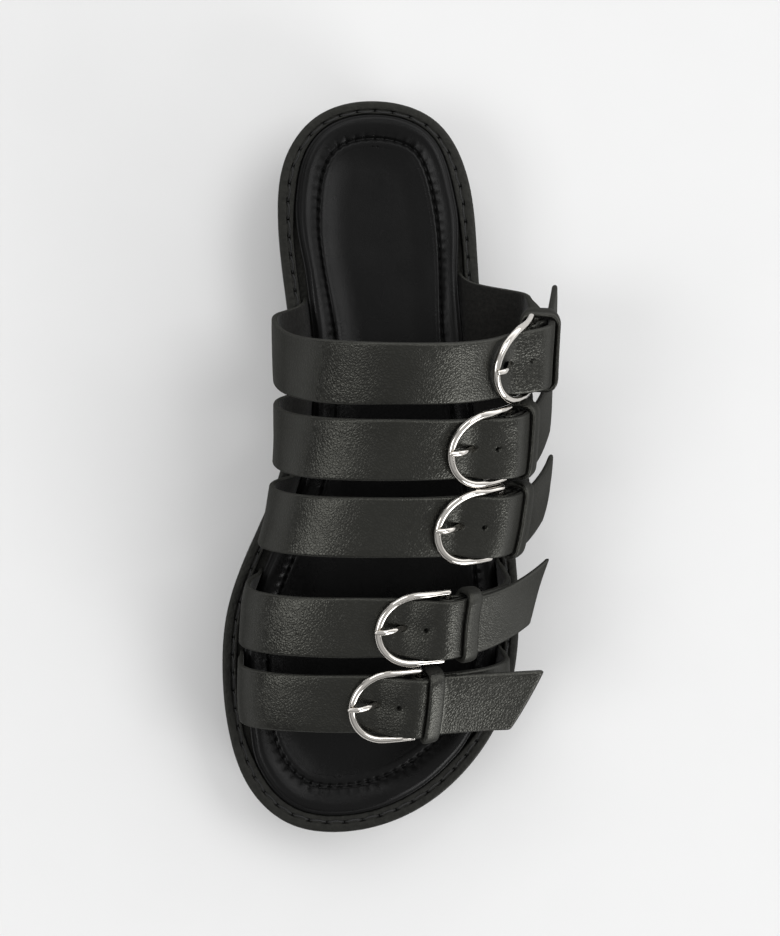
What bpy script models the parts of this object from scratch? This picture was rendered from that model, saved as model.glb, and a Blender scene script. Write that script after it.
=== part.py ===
"""Five-strap slide sandal, left shoe, standing empty on its sole.

Axes: the toe points to -Y, the heel to +Y, the big-toe (medial) side to -X and the buckle
(lateral) side to +X.  The origin is on the floor, under the middle of the heel's flat tread.

Everything is worked out from one sole outline and one last.  The last is the foot shape that the
straps are lasted over: a row of arched sections along the foot.  Every strap, tab, keeper, buckle
and prong is placed by its distance along such an arch and its height off the last, so they follow
the same hollow.  Lengths are millimetres here, and are written into the meshes as metres.
"""
import math

import bpy
import numpy as np

MM = 0.001
GAP = 0.3

# Rim outline seen from above, clockwise from the heel: x, y
HEEL_TO_TOE_MEDIAL = ((0.0, 38.0), (-22.8, 31.4), (-33.4, 16.3), (-35.9, -3.0), (-33.6, -29.0),
                      (-31.2, -50.0), (-31.2, -72.0), (-34.8, -95.3), (-47.1, -125.8),
                      (-54.3, -147.3), (-55.9, -168.9), (-53.1, -193.0), (-44.8, -212.8),
                      (-31.5, -223.9))
TOE_TO_HEEL_LATERAL = ((-14.2, -227.1), (0.0, -225.4), (19.5, -217.2), (36.6, -202.0),
                       (47.5, -184.0), (52.8, -160.0), (52.4, -133.0), (48.6, -104.0),
                       (43.2, -72.0), (38.8, -42.0), (36.6, -14.0), (33.3, 10.7), (21.8, 31.0))
RING_POINTS = 96
FILL_COLUMNS = 3

# Sole along the shoe: station y, tread z, rim z
SOLE_ROWS = ((-227.0, 7.0, 28.0), (-205.0, 2.4, 25.6), (-180.0, 0.0, 24.3), (-140.0, 0.0, 24.0),
             (-112.0, 0.0, 24.8), (-92.0, 3.6, 26.0), (-66.0, 5.0, 27.4), (-46.0, 2.6, 28.2),
             (-34.0, 0.0, 28.6), (10.0, 0.0, 29.4), (28.0, 0.0, 29.6), (38.0, 1.6, 29.8))
# Flat rim, narrower where the straps go down beside the insole: station y, width
RIM_ROWS = ((-227.0, 6.2), (-208.0, 6.4), (-190.0, 5.4), (-17.0, 5.4), (8.0, 6.4), (28.0, 5.4),
            (38.0, 5.0))

# Skin of the sole from the tread up: distance inside the rim line, and height over the tread
TREAD_LOOPS = ((4.0, 0.0), (2.2, 0.5), (1.4, 2.0))
# Side wall, overhanging welt and its top edge: distance inside the rim line, and height over the rim
WELT_LOOPS = ((1.2, -5.8), (0.0, -5.2), (0.0, -0.9), (0.7, 0.0))
# Recess that the footbed lies in: distance past the flat rim, and height over the rim
FOOTBED_DEPTH = 3.0
RECESS_LOOPS = ((-0.5, 0.0), (0.0, -0.6), (0.0, -FOOTBED_DEPTH))
GROOVE_STATIONS = (-196, -184, -172, -160, -148, -136, -124, -112, -30, -18, -6, 6, 18)
GROOVE_WIDTH = 3.0
GROOVE_DEPTH = 2.0
GROOVE_END_MARGIN = 10.0
CUTTER_FLOOR = -10.0

# Insole: how far inside the rim each loop of its profile lies, and its height over the rim
INSOLE_EDGE = 0.5
INSOLE_UNDERSIDE_INSET = 0.2
INSOLE_PROFILE = ((0.0, -1.0), (0.2, 1.6), (2.0, 3.6), (5.0, 4.4), (8.6, 3.6), (10.2, 1.9), (13.0, 2.2))
# Between these stations the insole's edge is drawn in, to leave a pocket for the strap roots
INSOLE_DRAWN_IN = 2.4
DRAWN_IN_HEEL = (-19.0, 6.0)
DRAWN_IN_TOE = (-206.0, -187.0)

# The last: station of the crown y, medial x and z of the widest line, lateral x and z of it,
# crown x, crown z
LAST_ROWS = ((-30.0, -37.0, 50.0, 51.5, 47.0, 6.0, 103.0),
             (-65.0, -36.0, 48.0, 51.0, 45.0, 5.0, 88.5),
             (-88.0, -35.6, 48.0, 51.5, 42.0, 4.0, 80.0),
             (-113.0, -38.6, 46.0, 50.0, 41.0, 0.0, 73.0),
             (-148.0, -47.2, 42.0, 43.6, 39.0, -4.0, 65.0),
             (-175.0, -48.2, 39.0, 44.8, 37.0, -6.0, 58.5),
             (-205.0, -44.0, 36.0, 40.0, 34.0, -9.0, 49.0))
# How far the roots of an arch lie to the heel of its crown: crown y, medial, lateral
LEAN_ROWS = ((-30.0, 22.0, 32.0), (-65.0, 20.0, 29.5), (-88.0, 13.0, 18.0), (-113.0, 7.0, 11.0),
             (-148.0, 6.5, 10.0), (-175.0, 3.0, 4.0), (-205.0, 1.0, 1.0))
LEAN_POWER = (1.5, 1.25)
SHOULDER_POWER = 2.1
ROOT_INSET = 7.8
ROOT_LIFT = FOOTBED_DEPTH - 2 * GAP
ROOT_STRAIGHT = 10.5
FLARE = 0.55
ARCH_STEPS = 160

# Straps, from the instep to the toes: crown station y, x of the buckle's bar, length of the tail
# past the bar on its middle line, how far its end swings to the heel and lifts off the last, where
# the keeper begins, and how far the strap bulges over the bar
STRAP_ROWS = (("1", -63.8, 46.0, 32.0, 1.0, 0.0, 2.2, 3.0),
              ("2", -88.4, 38.5, 35.0, 9.0, -3.0, 4.4, 1.0),
              ("3", -114.1, 36.0, 35.0, 6.5, -2.0, 6.0, 0.5),
              ("4", -148.2, 18.8, 42.0, 6.5, -5.0, 5.2, 0.0),
              ("5", -174.8, 10.8, 39.5, 0.0, 1.0, 2.0, 0.0))
STRAP_WIDTH = 20.8
STRAP_THICKNESS = 2.3
TAIL_CUT = 11.0
# Distance past the keeper where the stiff tail leaves the last, and the power that its swing grows by
FREE_AFTER_KEEPER = 1.0
SWING_POWER = 1.5
# Strap ends are pared thin to go into the sole: distance from the root, thickness
SKIVE = ((0.0, 1.6), (4.0, 1.6), (9.5, STRAP_THICKNESS))
# The bulge over the bar rises between these distances past the bar; the folded end of the tab fills
# this share of it, and fades out beyond the tab's double layer
BULGE_RISE = (-12.0, 0.0)
TAB_BULGE = 0.6
TAB_BULGE_FADE = (14.0, 24.0)

# Buckle, prong and tab, measured from the bar
WIRE = 2.6
WIRE_SIDES = 6
BUCKLE_WIDTH = 26.6
BUCKLE_REACH = 22.2
TAB_NARROWER = 0.2
TAB_FOLD_WALL = 0.9
FOLD_GAP = 1.4 * GAP
PRONG_WIDTH = 2.2
PRONG_THICKNESS = 1.2
PRONG_SLOT = 1.8
HOLE_FROM = -17.2
HOLE_TO = -11.6
KEEPER_WIDTH = 5.4
KEEPER_ROOM = 0.4
KEEPER_GAP = 1.5 * GAP
KEEPER_WALL = 1.6

# Heights off the last, by the distance past the bar: the middle of the buckle's wire, the underside
# of the long strap, and the middle of the prong
WIRE_LIFT = ((-22.2, 4.3), (-11.0, 3.95), (0.0, 2.65))
STRAP_LIFT = ((-200.0, 0.0), (-14.5, 0.1), (-11.6, 1.3), (-6.0, 4.2), (-2.5, 5.45), (0.0, 5.75),
              (4.0, 4.75), (8.0, 3.6), (14.0, 2.65), (60.0, 2.65))
PRONG_ROUTE = ((-4.5, 0.35), (-8.0, 0.25), (-11.6, 0.3), (-14.2, 2.0), (-17.2, 4.6), (-20.2, 6.3),
               (-23.4, 6.5))
# Horseshoe beside its bar, as shares of its half width, and the places where its arms turn off the bar
BAR_PLACES = (-0.9, -0.3, 0.3, 0.9)
ARM_TURN = ((0.35, 0.985), (1.3, 1.0))
ARM_MIDDLE = 0.55
BEND_STEPS = 13
# Tab: stations of its two layers past the bar, and evenly spaced ones down to its root
TAB_LAYERS = (5.0, 9.0, 14.0)
TAB_SINGLE_FROM = 20.0
TAB_SINGLE_STEPS = 15
FOLD_STEPS = 9
# Long strap: stations inside the buckle, and counts of the even ones before and after it
BUCKLE_STATIONS = (-20.5, HOLE_FROM, (HOLE_FROM + HOLE_TO) / 2, HOLE_TO, -9.0, -6.0, -2.5, 0.0, 4.0,
                   8.0, 12.0)
LASTED_UNTIL = -24.0
LASTED_STEPS = 25
TAIL_STEPS = 5
# Top of the tab beyond its fold: distance past the bar, height
TAB_TOP = ((2.0, 4.2), (5.0, 3.9), (9.0, 2.9), (14.0, 2.3), (200.0, 2.3))

COLOURS = {
    "outsole": (0.010, 0.010, 0.010, 0.60, 0.0),
    "insole": (0.018, 0.018, 0.019, 0.42, 0.0),
    "strap": (0.022, 0.022, 0.024, 0.48, 0.0),
    "tab": (0.020, 0.020, 0.022, 0.50, 0.0),
    "keeper": (0.020, 0.020, 0.021, 0.50, 0.0),
    "buckle": (0.78, 0.77, 0.74, 0.14, 1.0),
    "prong": (0.78, 0.77, 0.74, 0.16, 1.0),
}


def table(rows):
    """Rows as an array in rising order of their first column."""
    values = np.array(rows, dtype=float)
    return values[np.argsort(values[:, 0])]


def smooth(x, knots, values):
    """Monotone cubic curve through the knots: no overshoot, and flat where two values agree."""
    x = np.asarray(x, dtype=float)
    step = np.diff(knots)
    slope = np.diff(values) / step
    tangent = np.empty(len(knots))
    tangent[0] = slope[0]
    tangent[-1] = slope[-1]
    same_way = slope[:-1] * slope[1:] > 0
    total = np.where(same_way, slope[:-1] + slope[1:], 1.0)
    tangent[1:-1] = np.where(same_way, 2 * slope[:-1] * slope[1:] / total, 0.0)
    i = np.clip(np.searchsorted(knots, x) - 1, 0, len(step) - 1)
    t = np.clip((x - knots[i]) / step[i], 0.0, 1.0)
    rise = values[i + 1] - values[i]
    start = tangent[i] * step[i]
    end = tangent[i + 1] * step[i]
    return values[i] + t * start + t * t * (3 * rise - 2 * start - end) + t ** 3 * (start + end - 2 * rise)


def column(rows, index, x):
    """One column of a table, read at x."""
    values = table(rows)
    return smooth(x, values[:, 0], values[:, index])


def tread_z(y):
    return column(SOLE_ROWS, 1, y)


def rim_z(y):
    return column(SOLE_ROWS, 2, y)


def rim_width(y):
    return column(RIM_ROWS, 1, y)


def closed_spline(points, samples_per_span=40):
    """Smooth closed curve through the points: a periodic cubic spline over the chord length."""
    points = np.array(points, dtype=float)
    count = len(points)
    chord = np.linalg.norm(np.roll(points, -1, axis=0) - points, axis=1)
    before = np.roll(chord, 1)
    matrix = np.zeros((count, count))
    for i in range(count):
        matrix[i, i - 1] += before[i]
        matrix[i, i] += 2 * (before[i] + chord[i])
        matrix[i, (i + 1) % count] += chord[i]
    slope = (np.roll(points, -1, axis=0) - points) / chord[:, None]
    bend = np.linalg.solve(matrix, 6 * (slope - np.roll(slope, 1, axis=0)))
    t = np.linspace(0.0, 1.0, samples_per_span, endpoint=False)[None, :, None]
    p0 = points[:, None, :]
    p1 = np.roll(points, -1, axis=0)[:, None, :]
    b0 = bend[:, None, :]
    b1 = np.roll(bend, -1, axis=0)[:, None, :]
    h2 = (chord ** 2)[:, None, None] / 6
    curve = (1 - t) * p0 + t * p1 + h2 * (((1 - t) ** 3 - (1 - t)) * b0 + (t ** 3 - t) * b1)
    return curve.reshape(-1, 2)


def even_points(path, count):
    """count + 1 points at equal distances along an open path."""
    length = np.concatenate(([0.0], np.cumsum(np.linalg.norm(np.diff(path, axis=0), axis=1))))
    wanted = np.linspace(0.0, length[-1], count + 1)
    return np.stack([np.interp(wanted, length, path[:, k]) for k in range(path.shape[1])], axis=1)


def outline_ring():
    """RING_POINTS of the rim: the heel's end first, the toe's end half-way, both sides even."""
    curve = closed_spline(HEEL_TO_TOE_MEDIAL + TOE_TO_HEEL_LATERAL)
    heel = int(np.argmax(curve[:, 1]))
    curve = np.roll(curve, -heel, axis=0)
    toe = int(np.argmin(curve[:, 1]))
    half = RING_POINTS // 2
    medial = even_points(curve[:toe + 1], half)
    lateral = even_points(np.vstack([curve[toe:], curve[:1]]), half)
    return np.vstack([medial[:-1], lateral[:-1]])


def inset_ring(ring, distance):
    """The ring moved inwards, square to itself; distance may vary round the ring."""
    along = np.roll(ring, -1, axis=0) - np.roll(ring, 1, axis=0)
    along /= np.linalg.norm(along, axis=1)[:, None]
    inward = np.stack([-along[:, 1], along[:, 0]], axis=1)
    return ring + inward * np.reshape(distance, (-1, 1))


def side_x(y, side, inset=0.0):
    """x of the outline, moved inwards, at a station; side is -1 medial or 1 lateral."""
    ring = inset_ring(RIM, np.full(RING_POINTS, inset))
    half = RING_POINTS // 2
    part = ring[:half + 1] if side < 0 else np.vstack([ring[half:], ring[:1]])
    part = part[np.argsort(part[:, 1])]
    return np.interp(y, part[:, 1], part[:, 0])


RIM = outline_ring()


# ---------------------------------------------------------------- the last

def arch(station):
    """One arched section of the last, from the medial root over the crown to the lateral root.

    Above the widest line each side is a quarter of a superellipse; below it a cubic curve tucks in
    to the root, in the groove beside the insole.
    """
    crown_x = float(column(LAST_ROWS, 5, station))
    crown_z = float(column(LAST_ROWS, 6, station))
    sides = []
    for side, first, power in ((-1, 1, LEAN_POWER[0]), (1, 3, LEAN_POWER[1])):
        wide_x = float(column(LAST_ROWS, first, station))
        wide_z = float(column(LAST_ROWS, first + 1, station))
        lean = float(column(LEAN_ROWS, 1 if side < 0 else 2, station))
        root_y = station + lean
        root_z = float(rim_z(root_y)) - ROOT_LIFT
        root_x = float(side_x(root_y, side, ROOT_INSET))
        t = np.linspace(0.0, 1.0, ARCH_STEPS)[:, None]
        drop = wide_z - root_z
        corner = np.array([[root_x, root_z], [root_x, root_z + ROOT_STRAIGHT],
                           [wide_x, wide_z - FLARE * drop], [wide_x, wide_z]])
        lower = ((1 - t) ** 3 * corner[0] + 3 * (1 - t) ** 2 * t * corner[1]
                 + 3 * (1 - t) * t * t * corner[2] + t ** 3 * corner[3])
        angle = np.linspace(0.0, math.pi / 2, ARCH_STEPS)
        upper = np.stack([crown_x + (wide_x - crown_x) * np.cos(angle) ** (2 / SHOULDER_POWER),
                          wide_z + (crown_z - wide_z) * np.sin(angle) ** (2 / SHOULDER_POWER)], axis=1)
        flat = np.vstack([lower, upper[1:]])
        y = station + lean * ((crown_z - flat[:, 1]) / (crown_z - root_z)) ** power
        sides.append(np.column_stack([flat[:, 0], y, flat[:, 1]]))
    return np.vstack([sides[0], sides[1][::-1][1:]])


class Strip:
    """A strip over the last: a middle line, read by the distance from a chosen zero point.

    point(u, v, h) is the place u along the strip, v across it (towards the heel) and h off the last.
    """

    def __init__(self, station, zero_x):
        middle = arch(station)
        beside = arch(station + 1.0)
        self.length = np.concatenate(([0.0], np.cumsum(np.linalg.norm(np.diff(middle, axis=0), axis=1))))
        along = np.gradient(middle, self.length, axis=0)
        along /= np.linalg.norm(along, axis=1)[:, None]
        # the neighbouring arch, read level with this one, gives the direction across the strip
        across = beside - middle
        across -= (across * along).sum(axis=1)[:, None] * along
        self.stretch = 1.0 / np.linalg.norm(across, axis=1)
        self.station = station
        crown = int(np.argmax(middle[:, 2]))
        after = middle[crown:, 0]
        widest = int(np.argmax(after))
        self.zero = float(np.interp(zero_x, after[:widest], self.length[crown:crown + widest]))
        self.low = -self.zero
        self.high = self.length[-1] - self.zero
        self.cache = {}

    def line(self, station):
        """Arch through a station, by the fraction of its length."""
        key = round(station, 3)
        if key not in self.cache:
            curve = arch(station)
            self.cache[key] = curve
        return self.cache[key]

    def surface(self, u, v):
        """Point of the last's own surface."""
        length = u + self.zero
        stretch = float(np.interp(length, self.length, self.stretch))
        curve = self.line(self.station + v * stretch)
        row = np.interp(length, self.length, np.arange(len(self.length)))
        index = np.arange(len(curve))
        return np.array([np.interp(row, index, curve[:, k]) for k in range(3)])

    def axes(self, u, v):
        """Directions along, across and off the last."""
        step = 0.8
        along = self.surface(min(u + step, self.high), v) - self.surface(max(u - step, self.low), v)
        along /= np.linalg.norm(along)
        across = self.surface(u, v + step) - self.surface(u, v - step)
        off = np.cross(along, across)
        off /= np.linalg.norm(off)
        across = np.cross(off, along)
        return along, across, off

    def point(self, u, v, h):
        return self.surface(u, v) + self.axes(u, v)[2] * h


# ---------------------------------------------------------------- meshes

def material(kind):
    red, green, blue, roughness, metallic = COLOURS[kind]
    made = bpy.data.materials.get(kind)
    if made is None:
        made = bpy.data.materials.new(kind)
        made.use_nodes = True
        shader = made.node_tree.nodes["Principled BSDF"]
        shader.inputs["Base Color"].default_value = (red, green, blue, 1.0)
        shader.inputs["Roughness"].default_value = roughness
        shader.inputs["Metallic"].default_value = metallic
    return made


def add_object(name, kind, points, faces):
    """Mesh object with its faces turned outward."""
    points = np.asarray(points, dtype=float)
    volume = 0.0
    for face in faces:
        for k in range(1, len(face) - 1):
            a, b, c = points[face[0]], points[face[k]], points[face[k + 1]]
            volume += float(np.dot(a, np.cross(b, c)))
    if volume < 0:
        faces = [tuple(reversed(face)) for face in faces]
    mesh = bpy.data.meshes.new(name)
    mesh.from_pydata([tuple(p) for p in points * MM], [], faces)
    mesh.update()
    mesh.shade_smooth()
    mesh.set_sharp_from_angle(angle=math.radians(40))
    made = bpy.data.objects.new(name, mesh)
    mesh.materials.append(material(kind))
    bpy.context.scene.collection.objects.link(made)
    return made


def skin_of_blocks(blocks):
    """Outer faces of blocks of eight corners: a face that two blocks share is left out."""
    sides = ((0, 3, 2, 1), (4, 5, 6, 7), (0, 1, 5, 4), (1, 2, 6, 5), (2, 3, 7, 6), (3, 0, 4, 7))
    seen = {}
    for block in blocks:
        for side in sides:
            face = tuple(block[k] for k in side)
            key = tuple(sorted(face))
            if key in seen:
                del seen[key]
            else:
                seen[key] = face
    return list(seen.values())


def used_only(points, faces):
    """Drop the points that no face uses."""
    used = sorted({i for face in faces for i in face})
    place = {old: new for new, old in enumerate(used)}
    return np.asarray(points)[used], [tuple(place[i] for i in face) for face in faces]


def loft_rings(rings, columns):
    """Closed skin over a stack of rings whose first and last are filled from side to side.

    Point i of a ring faces point -i; each pair is joined by a row of columns + 1 points.
    """
    count = len(rings[0])
    half = count // 2
    points = [tuple(p) for ring in rings for p in ring]
    faces = []
    for level in range(len(rings) - 1):
        low = level * count
        high = low + count
        for i in range(count):
            j = (i + 1) % count
            faces.append((low + i, low + j, high + j, high + i))
    for level in (0, len(rings) - 1):
        base = level * count
        rows = []
        for i in range(1, half):
            start = base + i
            end = base + count - i
            row = [start]
            for k in range(1, columns):
                t = k / columns
                points.append(tuple((1 - t) * np.array(points[start]) + t * np.array(points[end])))
                row.append(len(points) - 1)
            rows.append(row + [end])
        fill = [(base, rows[0][k + 1], rows[0][k]) for k in range(columns)]
        for one, two in zip(rows[:-1], rows[1:]):
            fill += [(one[k], one[k + 1], two[k + 1], two[k]) for k in range(columns)]
        fill += [(base + half, rows[-1][k], rows[-1][k + 1]) for k in range(columns)]
        if level:
            fill = [tuple(reversed(face)) for face in fill]
        faces += fill
    return points, faces


def ring_at(inset, height):
    """Ring inside the outline; height is a function of the station y."""
    flat = inset_ring(RIM, inset)
    return np.column_stack([flat, height(flat[:, 1])])


# ---------------------------------------------------------------- sole and insole

def make_outsole():
    """Cupped rubber sole: tread, side wall, overhanging welt, flat rim and the footbed's recess."""
    rings = []
    for inset, height in TREAD_LOOPS:
        rings.append(ring_at(inset, lambda y, up=height: tread_z(y) + up))
    for inset, height in WELT_LOOPS:
        rings.append(ring_at(inset, lambda y, up=height: rim_z(y) + up))
    for past, height in RECESS_LOOPS:
        rings.append(ring_at(rim_width(RIM[:, 1]) + past, lambda y, up=height: rim_z(y) + up))
    points, faces = loft_rings(rings, FILL_COLUMNS)
    outsole = add_object("outsole", "outsole", points, faces)
    cut = outsole.modifiers.new("tread grooves", "BOOLEAN")
    cut.operation = "DIFFERENCE"
    cut.solver = "EXACT"
    cut.object = make_groove_cutter()


def make_groove_cutter():
    """Cross bars that cut the grooves between the tread's lugs."""
    points = []
    faces = []
    for station in GROOVE_STATIONS:
        left = float(side_x(station, -1)) + GROOVE_END_MARGIN
        right = float(side_x(station, 1)) - GROOVE_END_MARGIN
        top = float(tread_z(station)) + GROOVE_DEPTH
        near = station - GROOVE_WIDTH / 2
        far = station + GROOVE_WIDTH / 2
        first = len(points)
        for z in (CUTTER_FLOOR, top):
            points += [(left, near, z), (right, near, z), (right, far, z), (left, far, z)]
        corners = tuple(range(first, first + 8))
        faces += skin_of_blocks([corners])
    cutter = add_object("groove_cutter", "outsole", points, faces)
    cutter.hide_render = True
    cutter.display_type = "WIRE"
    return cutter


def ease(low, high, x):
    """Smooth step from 0 at low to 1 at high."""
    t = np.clip((x - low) / (high - low), 0.0, 1.0)
    return t * t * (3 - 2 * t)


def drawn_in(y):
    """How far the insole's edge is drawn in beside the strap roots."""
    return INSOLE_DRAWN_IN * (1 - ease(*DRAWN_IN_HEEL, y)) * ease(*DRAWN_IN_TOE, y)


def make_insole():
    """Padded insole: flat underside, rolled border, sunk seam and a flat centre panel."""
    edge = rim_width(RIM[:, 1]) + INSOLE_EDGE + drawn_in(RIM[:, 1])
    rings = [ring_at(edge + INSOLE_UNDERSIDE_INSET, lambda y: rim_z(y) - FOOTBED_DEPTH + GAP)]
    for inwards, over_rim in INSOLE_PROFILE:
        rings.append(ring_at(edge + inwards, lambda y, over=over_rim: rim_z(y) + over))
    points, faces = loft_rings(rings, FILL_COLUMNS)
    add_object("insole", "insole", points, faces)


# ---------------------------------------------------------------- straps

def lift(rows, u):
    """Height off the last, or thickness, read from a table of distances along a strap."""
    return float(column(rows, 1, u))


def strap_lift(u, bulge):
    """Height of the long strap's underside, with its bulge over the bar."""
    return lift(STRAP_LIFT, u) + bulge * float(ease(*BULGE_RISE, u))


def long_strap_stations(strip, tail, leaves):
    """Distances along the long strap, closer together in the buckle."""
    lasted = np.linspace(strip.low, LASTED_UNTIL, LASTED_STEPS)
    held = [u for u in BUCKLE_STATIONS if u < leaves - FREE_AFTER_KEEPER]
    free = np.linspace(leaves, tail, TAIL_STEPS)
    return np.concatenate([lasted, held, free])


def tail_point(strip, u, v, h, leaves, swing, rise):
    """Place on the free tail: its straight line out of the keeper, swung to the heel and lifted."""
    along, across, off = strip.axes(leaves, v)
    straight = strip.point(leaves, v, h) + along * (u - leaves)
    return straight + across * swing + off * rise


def make_long_strap(name, strip, tail, swing, rise, leaves, bulge):
    """Strap from the medial root to its free tail, with the prong's hole left open."""
    half = STRAP_WIDTH / 2
    across = (-half, -PRONG_SLOT, PRONG_SLOT, half)
    stations = long_strap_stations(strip, tail, leaves)
    points = []
    for u in stations:
        free = max(0.0, (u - leaves) / (tail - leaves))
        under = strap_lift(min(u, leaves), bulge)
        thickness = lift(SKIVE, u - strip.low)
        for v in across:
            reach = u + TAIL_CUT * (v / STRAP_WIDTH) * free
            bend = (reach - leaves) / (tail - leaves)
            for h in (under, under + thickness):
                if free > 0.0:
                    points.append(tail_point(strip, reach, v, h, leaves, swing * free ** SWING_POWER,
                                             rise * bend * bend))
                else:
                    points.append(strip.point(u, v, h))
    blocks = []
    row = 2 * len(across)
    for i in range(len(stations) - 1):
        middle = 0.5 * (stations[i] + stations[i + 1])
        for j in range(len(across) - 1):
            if j == 1 and HOLE_FROM < middle < HOLE_TO:
                continue
            a = i * row + 2 * j
            b = a + row
            blocks.append((a, a + 2, b + 2, b, a + 1, a + 3, b + 3, b + 1))
    faces = skin_of_blocks(blocks)
    add_object(name, "strap", *used_only(points, faces))


def make_tab(name, strip, bulge):
    """Short strap from the lateral root, folded round the bar, with a slot for the prong."""
    half = STRAP_WIDTH / 2 - TAB_NARROWER
    across = (-half, -PRONG_SLOT, PRONG_SLOT, half)
    bar_lift = lift(WIRE_LIFT, 0.0)
    inner = WIRE / 2 + FOLD_GAP
    outer = inner + TAB_FOLD_WALL
    # the fold is a ring of wedges round the bar, its first and last corners face the strip
    angles = np.radians(np.linspace(45.0, 315.0, FOLD_STEPS))
    section = []
    for radius in (inner, outer):
        for angle in angles:
            section.append((radius * math.cos(angle), bar_lift + radius * math.sin(angle)))
    ring = len(angles)
    quads = [(k, k + 1, ring + k + 1, ring + k) for k in range(ring - 1)]
    quads.append((ring - 1, 0, ring, 2 * ring - 1))
    below = 2 * ring - 1
    above = ring
    strip_quads = []
    single = np.linspace(TAB_SINGLE_FROM, strip.high, TAB_SINGLE_STEPS)
    for u in np.concatenate([TAB_LAYERS, single]):
        top = lift(TAB_TOP, u) + TAB_BULGE * bulge * float(1 - ease(*TAB_BULGE_FADE, u))
        if u > TAB_SINGLE_FROM:
            top = min(top, lift(SKIVE, strip.high - u))
        section += [(u, 0.0), (u, top)]
        strip_quads.append((below, above, len(section) - 1, len(section) - 2))
        below = len(section) - 2
        above = len(section) - 1
    points = []
    for v in across:
        for u, h in section:
            points.append(strip.point(u, v, h))
    size = len(section)
    blocks = []
    for j in range(len(across) - 1):
        cells = strip_quads[1:] if j == 1 else quads + strip_quads
        for cell in cells:
            near = [j * size + k for k in cell]
            blocks.append(tuple(near) + tuple(k + size for k in near))
    faces = skin_of_blocks(blocks)
    add_object(name, "tab", *used_only(points, faces))


def make_keeper(name, strip, start, bulge):
    """Flat loop round the tab and the tail, next to the bar."""
    side = STRAP_WIDTH / 2 + KEEPER_ROOM
    points = []
    for u in (start, start + KEEPER_WIDTH):
        top = strap_lift(u, bulge) + STRAP_THICKNESS + KEEPER_GAP
        for grow in (0.0, KEEPER_WALL):
            low = -GAP - grow
            high = top + grow
            wide = side + grow
            loop = ((-wide, low), (0.0, low), (wide, low), (wide, high), (0.0, high), (-wide, high))
            points += [strip.point(u, v, h) for v, h in loop]
    blocks = []
    for k in range(6):
        n = (k + 1) % 6
        blocks.append((k, n, n + 6, k + 6, k + 12, n + 12, n + 18, k + 18))
    add_object(name, "keeper", points, skin_of_blocks(blocks))


# ---------------------------------------------------------------- buckles

def make_buckle(name, strip):
    """Horseshoe of round wire, slightly curved to the last, closed by its straight bar."""
    half = (BUCKLE_WIDTH - WIRE) / 2
    bend = BUCKLE_REACH - half
    arm = [(reach, share * half) for reach, share in ARM_TURN] + [(bend * ARM_MIDDLE, half)]
    flat = [(0.0, share * half) for share in BAR_PLACES] + arm
    for angle in np.linspace(0.0, math.pi, BEND_STEPS):
        flat.append((bend + half * math.sin(angle), half * math.cos(angle)))
    flat += [(reach, -side) for reach, side in reversed(arm)]
    path = np.array([strip.point(-a, b, lift(WIRE_LIFT, -a)) for a, b in flat])
    normals = np.array([strip.axes(-a, b)[2] for a, b in flat])
    along = np.roll(path, -1, axis=0) - np.roll(path, 1, axis=0)
    along /= np.linalg.norm(along, axis=1)[:, None]
    points = []
    for place, direction, off in zip(path, along, normals):
        outward = np.cross(direction, off)
        for k in range(WIRE_SIDES):
            turn = 2 * math.pi * (k + 0.5) / WIRE_SIDES
            points.append(place + WIRE / 2 * (math.cos(turn) * outward + math.sin(turn) * off))
    faces = []
    for i in range(len(path)):
        near = i * WIRE_SIDES
        far = (i + 1) % len(path) * WIRE_SIDES
        for k in range(WIRE_SIDES):
            n = (k + 1) % WIRE_SIDES
            faces.append((near + k, near + n, far + n, far + k))
    add_object(name, "buckle", points, faces)


def make_prong(name, strip):
    """Flat tongue: curled round the bar, up through the strap's hole and over the bend."""
    half = PRONG_WIDTH / 2
    bar_lift = lift(WIRE_LIFT, 0.0)
    curl = WIRE / 2 + GAP + PRONG_THICKNESS / 2
    route = []
    for angle in np.radians(np.linspace(100.0, -90.0, 7)):
        route.append((curl * math.cos(angle), bar_lift + curl * math.sin(angle)))
    route = np.array(route + list(PRONG_ROUTE))
    slope = np.gradient(route, axis=0)
    slope /= np.linalg.norm(slope, axis=1)[:, None]
    side = np.stack([-slope[:, 1], slope[:, 0]], axis=1) * PRONG_THICKNESS / 2
    points = []
    for middle, out in zip(route, side):
        for v in (-half, half):
            for u, h in (middle - out, middle + out):
                points.append(strip.point(u, v, h))
    blocks = []
    for i in range(len(route) - 1):
        a = 4 * i
        b = a + 4
        blocks.append((a, a + 2, b + 2, b, a + 1, a + 3, b + 3, b + 1))
    add_object(name, "prong", points, skin_of_blocks(blocks))


def clear_scene():
    for item in list(bpy.data.objects):
        bpy.data.objects.remove(item, do_unlink=True)


def main():
    clear_scene()
    make_outsole()
    make_insole()
    for number, station, bar_x, tail, swing, rise, keeper_start, bulge in STRAP_ROWS:
        strip = Strip(station, bar_x)
        leaves = keeper_start + KEEPER_WIDTH + FREE_AFTER_KEEPER
        make_long_strap("strap_" + number, strip, tail, swing, rise, leaves, bulge)
        make_tab("tab_" + number, strip, bulge)
        make_buckle("buckle_" + number, strip)
        make_prong("prong_" + number, strip)
        make_keeper("keeper_" + number, strip, keeper_start, bulge)


main()
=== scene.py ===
"""Looks of a five-strap slide sandal, left shoe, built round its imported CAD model.

Axes are the CAD's: the toe points to -Y, the heel to +Y, the big-toe (medial) side to -X, the
buckle (lateral) side to +X, and the floor is Z = 0.  Lengths are millimetres until a mesh is made.
"""

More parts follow.
